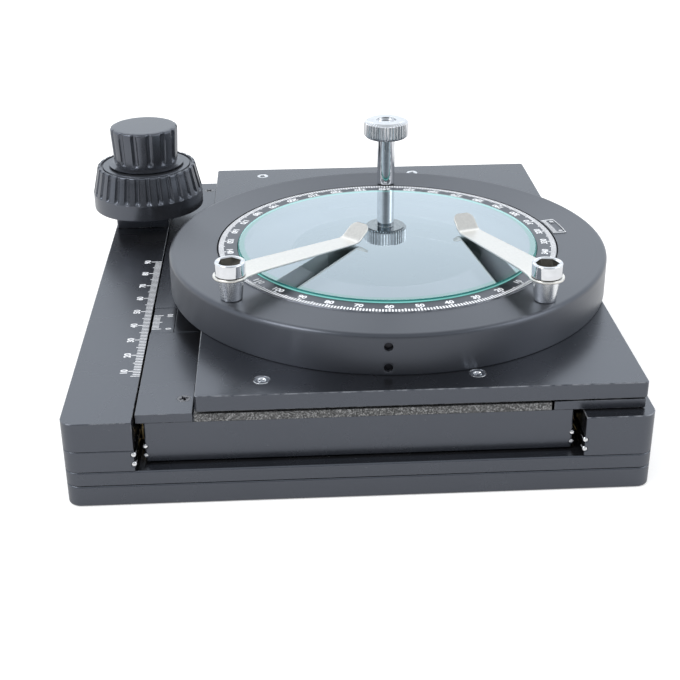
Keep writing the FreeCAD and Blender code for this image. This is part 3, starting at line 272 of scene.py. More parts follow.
# The face of the glass gives back more and more of the bright surroundings as the eye comes down to it
def clearGlass(name, share=2.15, power=3.0):
    material, nodes, links, shader, coords = newFinish(name)
    setShader(shader, metallic=1.0, rough=0.015)
    facing = nodes.new("ShaderNodeLayerWeight")
    facing.inputs["Blend"].default_value = 0.5
    raised = mathOf(nodes, links, "POWER", facing.outputs["Facing"], power)
    grown = mathOf(nodes, links, "MULTIPLY_ADD", raised, share, 0.05)
    shown = mathOf(nodes, links, "MINIMUM", grown, 1.0)
    links.new(shown, shader.inputs["Alpha"])
    cloud = noiseOf(nodes, links, coords, 25, 2)
    faint = rampOf(nodes, links, cloud, [(0.3, (0.77, 0.88, 0.95)), (0.7, (0.80, 0.91, 0.97))])
    rim = nodes.new("ShaderNodeMapRange")    # near the rim the reflection is painted green, standing in for the green thickness seen through the top
    rim.inputs["From Min"].default_value = 44.3 * mm
    rim.inputs["From Max"].default_value = 44.8 * mm
    links.new(axisDistance(nodes, links, coords), rim.inputs["Value"])
    greenRimReflection = mixOf(nodes, links, rim.outputs["Result"], faint, (0.62, 0.88, 0.86))
    links.new(greenRimReflection, shader.inputs["Base Color"])
    return material


# The lower face and wall of the disc, which the seat holds, hardly show
def lowerGlass(name):
    material, nodes, links, shader, coords = newFinish(name)
    setShader(shader, rough=0.4, alpha=0.05, specular=0.1)
    cloud = noiseOf(nodes, links, coords, 40, 2)
    shade = rampOf(nodes, links, cloud, [(0.3, (0.30, 0.50, 0.48)), (0.7, (0.36, 0.56, 0.54))])
    links.new(shade, shader.inputs["Base Color"])
    return material


# The thickness of the glass glows green by emission, a painted glow; its ground corner is a dark line of painted
# shade with a faint painted glow
def glowingEdgeGlass(name, color, glow):
    material, nodes, links, shader, coords = newFinish(name)
    setShader(shader, rough=0.25, specular=0.25)
    cloud = noiseOf(nodes, links, coords, 90, 2)
    shade = rampOf(nodes, links, cloud, [(0.3, scaled(color, 0.85)), (0.7, color)])
    links.new(shade, shader.inputs["Base Color"])
    links.new(shade, shader.inputs["Emission Color"])
    shader.inputs["Emission Strength"].default_value = glow
    return material


finishes = {
    "dark_anodised": anodised("dark_anodised"),
    "turntable_anodised": turnedAnodised("turntable_anodised"),
    "textured_strip": blasted("textured_strip"),
    "race_steel": metal("race_steel", (0.74, 0.74, 0.75), 0.14, 900, 0.05),
    "machined_steel": metal("machined_steel", (0.50, 0.50, 0.51), 0.30, 500, 0.12, 0.004),
    "bright_chrome": metal("bright_chrome", (0.74, 0.75, 0.77), 0.07, 500, 0.04),
    "softChrome": metal("softChrome", (0.86, 0.87, 0.88), 0.24, 500, 0.04),
    "satin_nickel": metal("satin_nickel", (0.76, 0.74, 0.70), 0.30, 1400, 0.10, 0.003),
    "cage_brass": metal("cage_brass", (0.62, 0.46, 0.22), 0.32, 600, 0.12, 0.004),
    "knob_black": plastic("knob_black"),
    "glass": clearGlass("glass"),
    # Painted green glow of the glass wall, and painted shade with a faint glow on its corner
    "glassEdgeGlow": glowingEdgeGlass("glassEdgeGlow", (0.20, 0.54, 0.50), 0.6),
    "glassCornerShadeGlow": glowingEdgeGlass("glassCornerShadeGlow", (0.02, 0.16, 0.15), 0.2),
    "glassUnder": lowerGlass("glassUnder"),
    # Edge finish: a lighter grey that is partly rubbed wear and partly a painted highlight
    "wornEdgeAndSheen": anodised("wornEdgeAndSheen", wearAndSheen=0.14),
    "blackSteel": metal("blackSteel", (0.035, 0.035, 0.04), 0.42, 500, 0.10, 0.004),
    "darkSteel": metal("darkSteel", (0.17, 0.17, 0.18), 0.28, 500, 0.10, 0.004),
    "socketSteel": metal("socketSteel", (0.36, 0.35, 0.33), 0.30, 500, 0.10),
    "whitePaint": paint("whitePaint"),
}
print("finishes made")


# Shapes are pairs of points in millimetres and faces, joined before they become one mesh
# Rings of points laid one after the other: the ring runs anticlockwise and climbs on the outside.
def stack(loops, caps=True, wrap=False):
    rows, columns = loops.shape[:2]
    index = np.arange(rows * columns).reshape(rows, columns)
    beside = np.roll(index, -1, 1)
    quads = np.stack([index, beside, np.roll(beside, -1, 0), np.roll(index, -1, 0)], -1)
    faces = (quads if wrap else quads[:-1]).reshape(-1, 4).tolist()
    if caps and not wrap:
        faces += [index[0, ::-1].tolist(), index[-1].tolist()]
    return loops.reshape(-1, 3), faces


def joined(*shapes):
    offset, points, faces = 0, [], []
    for some, few in shapes:
        points.append(np.asarray(some, float))
        faces += [[corner + offset for corner in face] for face in few]
        offset += len(some)
    return np.concatenate(points), faces


# Each corner gives way to a quadratic curve between points that lie one radius away on its two sides.
# A further point just outside each end keeps the flats flat.
def soften(corners, radius, closed=True, steps=3):
    corners = np.asarray(corners, float)
    radius = np.broadcast_to(np.asarray(radius, float), len(corners))[:, None]
    t = np.linspace(0, 1, steps + 1)[None, :, None]

    def side(shift):
        run = np.roll(corners, shift, 0) - corners
        length = np.maximum(np.linalg.norm(run, axis=1, keepdims=True), 1e-9)
        reach = np.minimum(radius, 0.42 * length)
        return corners + run / length * reach, corners + run / length * np.minimum(reach + 0.12, 0.48 * length)
    near, nearFlat = side(1)
    far, farFlat = side(-1)
    curve = (1 - t) ** 2 * near[:, None] + 2 * t * (1 - t) * corners[:, None] + t ** 2 * far[:, None]
    rows = np.concatenate([nearFlat[:, None], curve, farFlat[:, None]], 1)
    if closed:
        return rows.reshape(-1, corners.shape[1])
    return np.concatenate([corners[:1], rows[1:-1].reshape(-1, corners.shape[1]), corners[-1:]])


# Points by radius, angle and height about an upright axis
def aboutAxis(centre, radius, angle, height):
    x, y = centre[0] + radius * np.cos(angle), centre[1] + radius * np.sin(angle)
    return np.stack([x, y, height + 0 * x], -1)


# Each point (radius, height) of the profile goes round the axis. Ripple adds to the radius by angle and height.
def turned(profile, count, centre, ripple=None, wrap=False):
    angle = np.linspace(0, math.tau, count, endpoint=False)[None, :]
    radius, height = profile[:, :1], profile[:, 1:2]
    if ripple is not None:
        radius = radius + ripple(angle, height, radius)
    return stack(aboutAxis(centre, radius, angle, height), wrap=wrap)


# One mesh object that rides on its body and stands for the nodes it replaces.
def piece(name, shape, finish, node=None, body=None, sharp=sharpDegrees, stands=()):
    mesh = bpy.data.meshes.new(name)
    points, faces = shape
    mesh.from_pydata((np.asarray(points) * mm).tolist(), [], faces)
    mesh.polygons.foreach_set("use_smooth", np.ones(len(mesh.polygons), bool))
    mesh.set_sharp_from_angle(angle=math.radians(sharp))
    mesh.materials.append(finishes[finish])
    made = bpy.data.objects.new(name, mesh)
    scene.collection.objects.link(made)
    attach(made, body or bodyOf[node])
    if node:
        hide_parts(node, *stands)
    return made


# Points that lie close together become one. A sheet can be turned so that it faces up.
def weldClose(made, faceUp=False):
    weld = bmesh.new()
    weld.from_mesh(made.data)
    bmesh.ops.remove_doubles(weld, verts=weld.verts, dist=mergeWithin)
    if faceUp:
        bmesh.ops.recalc_face_normals(weld, faces=weld.faces)
        if sum(face.normal.z for face in weld.faces) < 0:
            bmesh.ops.reverse_faces(weld, faces=weld.faces)
    weld.to_mesh(made.data)
    weld.free()


# A copy of a machined solid, merged and with its edges broken a little.
def dressNode(node, edge, segments=2, wearAndSheen=True, clamp=False):
    work = bmesh.new()
    work.from_mesh(frame["nodes"][node].data)
    bmesh.ops.remove_doubles(work, verts=work.verts, dist=2e-6)
    flat = math.radians(0.4)
    bmesh.ops.dissolve_limit(work, angle_limit=flat, verts=work.verts, edges=work.edges)
    mesh = bpy.data.meshes.new(node + "_dressed")
    work.to_mesh(mesh)
    work.free()
    mesh.polygons.foreach_set("use_smooth", np.ones(len(mesh.polygons), bool))
    mesh.set_sharp_from_angle(angle=math.radians(sharpDegrees))
    mesh.materials.clear()
    mesh.materials.append(finishes[slotOf[node]])
    made = bpy.data.objects.new(node + "_dressed", mesh)
    scene.collection.objects.link(made)
    bevel = made.modifiers.new("broken_edges", "BEVEL")
    bevel.width = edge * mm
    bevel.segments = segments
    bevel.limit_method = "ANGLE"
    bevel.angle_limit = math.radians(sharpDegrees)
    bevel.use_clamp_overlap = clamp
    # Bevel faces take the lighter edge finish, partly rubbed wear and partly a painted highlight
    if wearAndSheen:
        mesh.materials.append(finishes["wornEdgeAndSheen"])
        bevel.material = 1
    even = made.modifiers.new("even_faces", "WEIGHTED_NORMAL")
    even.keep_sharp = True
    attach(made, bodyOf[node])
    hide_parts(node)
    return made


# Machined plates and blocks keep the solids' shape and get broken edges
brokenEdges = dict(
    bottom_plate=0.36, base_plate=0.36, left_rail_block=0.25, left_scale_plate=0.2, right_rail_block=0.25,
    knob_seat=0.25, vernier_cover_front=0.12, vernier_cover_rear=0.12, vernier_plate=0.12,
    right_cover=0.15, wiper_strip_front=0.08, wiper_strip_rear=0.08, x_plate=0.25, y_slide=0.1)
keptBlack = ("wiper_strip_front", "wiper_strip_rear", "vernier_plate", "vernier_cover_rear")
for node, edge in brokenEdges.items():
    dressNode(node, edge, wearAndSheen=node not in keptBlack, clamp=node == "y_slide")
for node in ("y_fixed_rods", "y_moving_rods"):
    dressNode(node, 0.42, 3, wearAndSheen=False)    # race rods with rounded ends
print("plates dressed")


# Housing ring: a closed section carried round, with two set screw holes let into the wall at three places
housing = dict(outer=67.9, bore=53.1, foot=60.05, low=30.4, top=42.4, ledge=37.6, hub=48.4, under=34.3, edge=1.4,
               columns=720, holes=(32.6, 38.9), holeRadius=1.2, holeDepth=1.7, holeAngles=(-94.6, 25.4, 145.4))


# Between a square window in the wall and a round rim, then down the bore, in wall coordinates.
def holePatch(columnsAt, rowsAt, height, angle, values):
    border = np.concatenate([
        np.stack([columnsAt, np.full_like(columnsAt, rowsAt[0])], -1)[:-1],
        np.stack([np.full_like(rowsAt, columnsAt[-1]), rowsAt], -1)[:-1],
        np.stack([columnsAt[::-1], np.full_like(columnsAt, rowsAt[-1])], -1)[:-1],
        np.stack([np.full_like(rowsAt, columnsAt[0]), rowsAt[::-1]], -1)[:-1]])
    turn = np.arctan2(border[:, 1] - height, border[:, 0])
    circle = np.stack([np.cos(turn), np.sin(turn)], -1)
    radius = values["holeRadius"]
    levels = [(radius + 0.22, 0.0), (radius + 0.07, 0.05), (radius, 0.2), (radius, values["holeDepth"])]
    loops = [np.c_[border, np.zeros(len(border))]]
    loops += [np.c_[circle * wide + (0, height), np.full(len(circle), deep)] for wide, deep in levels]
    loops = np.stack(loops)
    turns = math.radians(angle) + loops[..., 0] / values["outer"]
    shape, faces = stack(aboutAxis(ringCentre, values["outer"] - loops[..., 2], turns, loops[..., 1]))
    return shape, faces[:-2] + [faces[-1]]


# The section is softened at its corners. Cells of the wall make way for the holes.
def makeHousing(values):
    step = math.tau / values["columns"]
    half = 3    # cells of the wall to each side of a hole
    size = values["outer"] * step
    across = np.linspace(-half, half, 2 * half + 1) * size
    wallRows = np.unique(np.round(np.concatenate([height + across for height in values["holes"]]), 4))
    outer, edge, top, low = values["outer"], values["edge"], values["top"], values["low"]
    corner = soften([(outer, top - 4), (outer, top), (outer - 8, top)], [0.1, edge, 0.1],
                    closed=False, steps=8)[1:-1]
    corner = corner[corner[:, 1] > wallRows[-1] + 0.02]
    rest = soften([(values["bore"], top), (values["bore"], values["ledge"]), (values["hub"], values["ledge"]),
                   (values["hub"], values["under"]), (values["foot"], values["under"]), (values["foot"], low)],
                  [0.25, 0.1, 0.1, 0.2, 0.1, 0.2])
    start = np.array([(outer - 0.3, low), (outer - 0.08, low + 0.08), (outer, low + 0.3)])
    wall = np.c_[np.full(len(wallRows), outer), wallRows]
    profile = np.concatenate([start, wall, corner, rest])
    points, faces = turned(profile, values["columns"], ringCentre, wrap=True)
    faces = np.array(faces).reshape(len(profile), values["columns"], 4)
    keep = np.ones(faces.shape[:2], bool)
    patches = []
    for angle in values["holeAngles"]:
        column = int(round(math.radians(angle) / step)) % values["columns"]
        for height in values["holes"]:
            row = len(start) + int(np.argmin(abs(wallRows - (height - half * size))))
            keep[row:row + 2 * half, np.arange(column - half, column + half) % values["columns"]] = False
            patches.append(holePatch(across, height + across, height, math.degrees(column * step), values))
    return joined((points, faces[keep].tolist()), *patches)


made = piece("ring_housing_turned", makeHousing(housing), "turntable_anodised", "ring_housing")
weldClose(made)


# Faces whose middle lies in a band of radius and height about an upright axis take a further finish
def finishBand(made, finish, radii, heights, centre=ringCentre):
    mesh = made.data
    if finishes[finish].name not in mesh.materials:
        mesh.materials.append(finishes[finish])
    place = mesh.materials.find(finishes[finish].name)
    middle, index = np.empty(len(mesh.polygons) * 3), np.empty(len(mesh.polygons), np.int32)
    mesh.polygons.foreach_get("center", middle)
    mesh.polygons.foreach_get("material_index", index)
    middle = middle.reshape(-1, 3) / mm
    radius = np.hypot(middle[:, 0] - centre[0], middle[:, 1] - centre[1])
    inBand = (radius > radii[0]) & (radius < radii[1])
    index[inBand & (middle[:, 2] > heights[0]) & (middle[:, 2] < heights[1])] = place
    mesh.polygons.foreach_set("material_index", index)


# The top edge of the bore takes the lighter edge finish, partly rubbed wear and partly a painted highlight line
finishBand(made, "wornEdgeAndSheen", (53.0, 53.45), (42.0, 42.5))


# Dial ring and glass
dial = dict(outer=52.8, top=42.2, seat=46.8, floor=39.9, hole=29.7, under=37.9, hubIn=44.0, hubOut=48.0,
            hubLow=34.2, flange=38.2)
section = [(dial["hole"], dial["under"]), (dial["hubIn"], dial["under"]), (dial["hubIn"], dial["hubLow"]),
           (dial["hubOut"], dial["hubLow"]), (dial["hubOut"], dial["flange"]), (dial["outer"], dial["flange"]),
           (dial["outer"], dial["top"]), (dial["seat"], dial["top"]), (dial["seat"], dial["floor"]),
           (dial["hole"], dial["floor"])]
section = soften(section, [0.2, 0.1, 0.2, 0.3, 0.1, 0.2, 0.22, 0.12, 0.1, 0.3])
piece("dial_ring_turned", turned(section, 360, ringCentre, wrap=True), "turntable_anodised", "dial_ring")

glass = dict(outer=46.6, low=39.9, top=42.9, edge=0.38, rim=0.85)
outer, low, top, edge = (glass[key] for key in ("outer", "low", "top", "edge"))
section = np.array([(outer - edge, low), (outer, low + edge), (outer, top - glass["rim"]), (outer, top - edge),
                    (outer - edge * 0.3, top - edge * 0.3), (outer - edge, top), (outer - edge - 0.04, top),
                    (outer - 2, top)])
made = piece("glass_disc_turned", turned(section, 360, ringCentre), "glass", "glass_disc", sharp=20)
finishBand(made, "glassUnder", (-1, 50), (39, top - glass["rim"]))
# The wall of the disc takes the painted green glow, and its top corner the painted dark line
finishBand(made, "glassEdgeGlow", (outer - 0.03, 50), (top - glass["rim"], top - edge))
finishBand(made, "glassCornerShadeGlow", (outer - edge - 0.01, outer - 0.01), (top - edge, top - 0.01))
print("turntable made")


# Sleeves, cap screws and the screws of the top plate

# Distance from the middle to the side of a hexagon in a direction.
def hexagon(angle, flats, turn=0.0):
    return flats / 2 / np.cos((angle - turn + math.pi / 6) % (math.pi / 3) - math.pi / 6)


# Stem, head with a rounded edge, then a six-sided socket whose ring of points slides from circle to hexagon.
def socketScrew(centre, stem, stemLow, head, low, top, flats, depth, turn=0.0, edge=0.35, count=72):
    angle = np.linspace(0, math.tau, count, endpoint=False)
    circle = np.ones(count)
    corner = flats / 2 / math.cos(math.pi / 6)
    six = hexagon(angle, flats, turn)
    rows = [(circle * (stem - 0.2), stemLow), (circle * stem, stemLow + 0.2), (circle * stem, low),
            (circle * (head - 0.1), low), (circle * head, low + 0.1), (circle * head, top - edge - 0.1),
            (circle * head, top - edge),
            (circle * (head - edge * 0.1), top - edge * 0.55), (circle * (head - edge * 0.5), top - edge * 0.12),
            (circle * (head - edge), top), (circle * (head - edge - 0.1), top), (circle * (corner + 0.22), top),
            (circle * (corner + 0.08), top - 0.06), (six, top - 0.25), (six, top - depth),
            (six * 0.98, top - depth - 0.02), (circle * 0.3, top - depth - 0.35)]
    radius = np.stack([row[0] for row in rows])
    height = np.array([row[1] for row in rows])[:, None]
    return stack(aboutAxis(centre, radius, angle, height))


def around(angle, radius):
    return ringCentre + radius * np.array([math.cos(math.radians(angle)), math.sin(math.radians(angle))])


post = dict(radius=62.5, low=42.4, top=48.9, foot=3.1, head=3.85, bore=2.5)
capScrew = dict(stem=2.5, stemLow=36.4, head=4.35, low=49.8, top=53.7, flats=5.9, depth=2.6)
postAngles = dict(left=-139.6, right=-49.6)
for side, angle in postAngles.items():
    spot = around(angle, post["radius"])
    sleeve = soften([(post["bore"], post["low"]), (post["foot"], post["low"]), (post["head"], post["top"]),
                     (post["bore"], post["top"])], [0.1, 0.2, 0.25, 0.1])
    piece(f"clip_sleeve_{side}_turned", turned(sleeve, 72, spot, wrap=True), "softChrome", f"clip_sleeve_{side}")
    shape = socketScrew(spot, turn=math.radians(angle + 12), **capScrew)
    made = piece(f"clip_screw_{side}_turned", shape, "bright_chrome", f"clip_screw_{side}")
    finishBand(made, "socketSteel", (-1, 3.5), (capScrew["top"] - 4, capScrew["top"] - 0.3), spot)

plateScrew = dict(stem=1.25, stemLow=19.4, head=2.2, low=27.8, top=30.3, flats=2.0, depth=1.3, edge=0.2, count=48)
plateScrewSpots = [(x, y) for x in (-46.2, 12.2) for y in (-65.85, 104.15)]
shapes = [socketScrew(spot, turn=0.3 + i, **plateScrew) for i, spot in enumerate(plateScrewSpots)]
piece("x_plate_screws_turned", joined(*shapes), "bright_chrome", "x_plate_screws")


# Countersunk cross screws: the flat top sinks where the cross is cut
crossScrew = dict(stem=1.0, reach=6.0, head=1.9, top=25.2, cross=0.26, arm=1.15, deep=0.8)


# Cone under a flat head. The top drops by a smooth step inside two crossed bars that shrink with depth.
def makeCrossScrew(centre, values, turn):
    angle = np.linspace(0, math.tau, 48, endpoint=False)[None, :]
    stem, head, reach = (values[key] for key in ("stem", "head", "reach"))
    rows = np.array([(0.7, -reach), (stem, -reach + 0.3), (stem, -0.92), (head, -0.08), (head - 0.06, -0.02)]
                    + [(r, 0.0) for r in np.linspace(head - 0.12, 0.08, 18)])
    radius, height = rows[:, :1], rows[:, 1:]
    x, y = radius * np.cos(angle), radius * np.sin(angle)
    c, s = math.cos(turn), math.sin(turn)
    bar = np.minimum(np.abs(x * c + y * s), np.abs(y * c - x * s))
    inside = np.clip((values["cross"] - bar) / 0.12 + 0.5, 0, 1)
    inside = inside * np.clip((values["arm"] - radius) / 0.15 + 0.5, 0, 1)
    sink = np.where(height > -0.01, inside * values["deep"], 0)
    return stack(np.stack([centre[0] + x, centre[1] + y, values["top"] + height - sink], -1))


crossSpots = [(-67.2, -65.3), (-67.2, 103.1), (35.1, -65.3), (35.1, 103.1)]
shapes = [makeCrossScrew(spot, crossScrew, 0.35 + 0.5 * i) for i, spot in enumerate(crossSpots)]
piece("cover_screws_turned", joined(*shapes), "darkSteel", "cover_screws", sharp=45)
print("screws made")


# Spring clips: a sheet with a round eye, bent along its length, then given its thickness
clipValues = dict(eye=5.05, hole=2.55, root=6.5, width=4.75, endWidth=3.45, reach=52.8, tip=6.0, tipRise=3.9,
                  drop=5.75, low=48.95, thick=0.7, corner=2.3)
clipAngles = dict(left=47.0, right=105.5)


# Rings from the hole out to the eye's outline and the root, then rows along the arm.
# Height follows the softened line of bends, by the distance along the clip.
def clipSheet(values, centre, direction):
    eye, root, wide, end = values["eye"], values["root"], values["width"], values["reach"] + values["tip"]
    turn = math.asin(wide / eye)
    arc = np.linspace(turn, math.tau - turn, 41)
    cross = np.linspace(-1, 1, 13)
    corner = values["corner"]
    halfAt = lambda x: np.interp(x, [0, end - corner], [wide, values["endWidth"]])
    neck = np.linspace(eye * math.cos(turn), root, 6)
    outline = np.concatenate([
        eye * np.c_[np.cos(arc), np.sin(arc)],
        np.c_[neck, -halfAt(neck)][1:-1],
        np.c_[np.full(13, root), cross * halfAt(root)],
        np.c_[neck, halfAt(neck)][-2:0:-1]])
    rim = outline / np.linalg.norm(outline, axis=1, keepdims=True) * values["hole"]
    share = np.array([0, 0.15, 0.45, 0.75, 0.93, 1.0])[:, None, None]
    rings = rim[None] * (1 - share) + outline[None] * share
    eyePart = stack(np.concatenate([rings, np.zeros((*rings.shape[:2], 1))], -1)[::-1], caps=False)
    along = np.linspace(root, end - corner, 64)
    half = halfAt(along)
    sweep = np.linspace(0, math.pi / 2, 9)[1:]    # corners of the tip
    along = np.concatenate([along, end - corner + corner * np.sin(sweep)])
    half = np.concatenate([half, values["endWidth"] - corner + corner * np.cos(sweep)])
    arm = np.stack([along[:, None] + 0 * cross, half[:, None] * cross, 0 * along[:, None] + 0 * cross], -1)
    index = np.arange(arm.shape[0] * 13).reshape(-1, 13)
    armFaces = np.stack([index[:-1, :-1], index[1:, :-1], index[1:, 1:], index[:-1, 1:]], -1)
    points, faces = joined(eyePart, (arm.reshape(-1, 3), armFaces.reshape(-1, 4).tolist()))
    drop = values["drop"]
    line = soften([(-eye - 1, 0), (root, 0), (values["reach"], -drop), (end + 1, values["tipRise"] * 1.15 - drop)],
                  [0.1, 4, 1.6, 0.1], closed=False, steps=16)
    points[:, 2] = np.interp(points[:, 0], line[:, 0], line[:, 1]) + values["low"] + values["thick"] / 2
    c, s = math.cos(math.radians(direction)), math.sin(math.radians(direction))
    x, y = points[:, 0].copy(), points[:, 1].copy()
    points[:, 0], points[:, 1] = centre[0] + c * x - s * y, centre[1] + s * x + c * y
    return points, faces


for side, direction in clipAngles.items():
    sheet = clipSheet(clipValues, around(postAngles[side], post["radius"]), direction)
    made = piece(f"{side}_clip_bent", sheet, "satin_nickel", f"{side}_clip", sharp=60)
    weldClose(made, faceUp=True)
    wall = made.modifiers.new("thickness", "SOLIDIFY")
    wall.thickness = clipValues["thick"] * mm
    wall.offset = 0
    rounded = made.modifiers.new("soft_edges", "BEVEL")
    rounded.width = 0.16 * mm
    rounded.segments = 2
    rounded.limit_method = "ANGLE"
    rounded.angle_limit = math.radians(50)
    rounded.use_clamp_overlap = False
print("clips made")


# Lock screw: straight knurls all round its head
lock = dict(angle=85.4, radius=55.7, thread=1.5, low=38.4, start=42.5, shaft=3.05, headLow=59.3, head=7.6,
            top=65.3, recess=3.4, recessDeep=0.8, knurls=44, knurlDeep=0.34, chamfer=0.75, crown=1.5)


# The section climbs the thread, the shaft and the head. Knurls are a cosine round the head, faded at its chamfers.
def makeLock(values):
    head, low, top, cham = values["head"], values["headLow"], values["top"], values["chamfer"]
    corners = [(0.6, values["low"]), (values["thread"], values["low"] + 0.5), (values["thread"], values["start"]),
               (values["shaft"], values["start"]), (values["shaft"], low), (head - cham, low), (head, low + cham),
               (head, top - cham), (head - values["crown"], top), (values["recess"], top),
               (values["recess"], top - values["recessDeep"]), (0.5, top - values["recessDeep"])]
    radii = [0, 0.1, 0.05, 0.2, 0.3, 0.15, 0.12, 0.12, 0.15, 0.12, 0.25, 0]
    profile = soften(corners, radii, closed=False, steps=4)
    middle = (low + top) / 2
    halfHigh = (top - low) / 2 - cham * 0.35

    def knurl(angle, height, radius):
        fade = np.clip((halfHigh - np.abs(height - middle)) / 0.4, 0, 1) * (radius > head - cham * 0.9)
        return -values["knurlDeep"] * fade * (0.5 - 0.5 * np.cos(angle * values["knurls"])) ** 0.8
    extra = np.array([(head, z) for z in np.linspace(low + cham + 0.3, top - cham - 0.3, 5)])
    at = int(np.argmax(profile[:, 1] > middle))
    profile = np.concatenate([profile[:at], extra, profile[at:]])
    return turned(profile, values["knurls"] * 10, around(values["angle"], values["radius"]), knurl)


piece("lock_screw_turned", makeLock(lock), "bright_chrome", "lock_screw", sharp=40)


# Coaxial knobs
lowKnob = dict(bore=3.0, low=30.8, wide=19.6, band=36.5, rim=17.5, top=46.2, flutes=30, flute=0.85,
               deep=0.85, start=36.7)
highKnob = dict(bore=1.5, low=46.5, collar=13.3, band=47.2, neck=11.0, wide=11.3, crown=11.9, top=60.25,
                flutes=14, flute=1.15, deep=0.8, start=48.0)


# A round cutter stands on a circle about the knob and reaches a little way in. Its near edge is the floor of
# a flute, and blend rounds the lands' edges. The depth starts as a quarter circle, for a round end.
def flutes(values, slope, fadeIn=1.6, fadeOut=0.0):
    count, cutter, blend = values["flutes"], values["flute"], 0.11

    def ripple(angle, height, radius):
        rise = np.clip((height - values["start"]) / fadeIn, 0, 1)
        fade = np.sqrt(1 - (1 - rise) ** 2)
        if fadeOut:
            ending = np.clip((height - values["top"] + fadeOut) / fadeOut, 0, 1)
            fade = fade * np.sqrt(np.clip(1 - ending ** 2, 0, 1))
        surface = slope(height)
        reach = surface + cutter - values["deep"] * fade
        local = (angle * count / math.tau + 0.5) % 1 - 0.5
        local = local * math.tau / count
        inner = reach * np.cos(local) - np.sqrt(np.maximum(cutter ** 2 - (reach * np.sin(local)) ** 2, 0))
        inner = np.where(reach * np.abs(np.sin(local)) < cutter, inner, 1e3)
        lower = np.minimum(inner - surface, 0)
        soft = -np.log(np.exp(-np.clip((inner - surface) / blend, -60, 60)) + 1) * blend
        cut = np.where(fade > 0, np.where(inner - surface > 8 * blend, 0, soft), 0)
        cut = np.maximum(cut, lower - 0.1)
        within = np.clip((radius - surface + 0.9) / 0.5, 0, 1)
        return np.where((radius > surface - 0.9) & (height > values["start"]), cut * within, 0)
    return ripple


def makeLowKnob(values):
    wide, rim, top, band, low = (values[key] for key in ("wide", "rim", "top", "band", "low"))
    slope = lambda z: np.interp(z, [band, top - 0.5], [wide, rim])
    heights = np.concatenate([np.linspace(band + 0.5, band + 2.6, 12), np.linspace(band + 3.2, top - 1.6, 8)])
    side = [(float(slope(z)), z) for z in heights]
    lower = soften([(values["bore"], low), (wide, low), (wide, band), side[0]], [0.1, 0.5, 0.3, 0.05],
                   closed=False)[:-1]
    upper = soften([side[-1], (rim, top - 0.1), (rim - 1.1, top), (rim - 1.25, top - 0.8), (rim - 1.85, top - 0.8),
                    (rim - 2.0, top - 0.1), (values["bore"], top - 0.1)], [0.05, 0.8, 0.2, 0.12, 0.12, 0.2, 0.05],
                   closed=False, steps=5)[1:]
    profile = np.concatenate([lower, np.array(side), upper])
    return turned(profile, values["flutes"] * 16, knobCentre, flutes(values, slope))


def makeHighKnob(values):
    wide, crown, top = values["wide"], values["crown"], values["top"]
    band, low, collar = values["band"], values["low"], values["collar"]
    slope = lambda z: np.interp(z, [band + 0.4, top - 2.0], [wide, crown])
    start = values["start"]
    heights = np.concatenate([np.linspace(start - 0.1, start + 2.2, 12), np.linspace(start + 3, top - 2.3, 9)])
    side = [(float(slope(z)), z) for z in heights]
    share = np.linspace(0, 1, 9)[:, None]    # slightly hollow flare of the collar
    flare = (1 - share) * (collar, low + 0.35) + share * (values["neck"], band) - 0.5 * share * (1 - share)
    foot = [(values["bore"], low), (collar - 0.1, low), (collar, low + 0.1), (collar, low + 0.3)]
    shoulder = soften([flare[-1], (wide - 0.3, band + 0.15), (wide, band + 0.5), side[0]],
                      [0.05, 0.15, 0.15, 0.05], closed=False)[1:-1]
    lower = np.concatenate([foot, flare, shoulder])
    upper = soften([side[-1], (crown, top), (0.8, top)], [0.05, 1.9, 0.05], closed=False, steps=9)[1:]
    return turned(np.concatenate([lower, np.array(side), upper]), values["flutes"] * 22, knobCentre,
                  flutes(values, slope, 2.0, 2.2))


piece("y_knob_turned", makeLowKnob(lowKnob), "knob_black", "y_knob", sharp=50)
piece("x_knob_turned", makeHighKnob(highKnob), "knob_black", "x_knob", sharp=50)
print("knobs made")


# Marks: thin flat bars and figures that lie just above a surface
# A bar from start to end along its direction, with half its width to each side, for whole arrays of bars.
def bars(middles, directions, starts, ends, width, height):
    middles, directions = np.asarray(middles, float), np.asarray(directions, float)
    side = np.c_[-directions[:, 1], directions[:, 0]] * width / 2
    starts, ends = np.broadcast_to(starts, len(middles))[:, None], np.broadcast_to(ends, len(middles))[:, None]
    near, far = middles + directions * starts, middles + directions * ends
    corners = np.stack([near - side, far - side, far + side, near + side], 1)
    points = np.concatenate([corners, np.full((*corners.shape[:2], 1), height)], -1).reshape(-1, 3)
    return points, np.arange(len(points)).reshape(-1, 4).tolist()


figureCache = {}


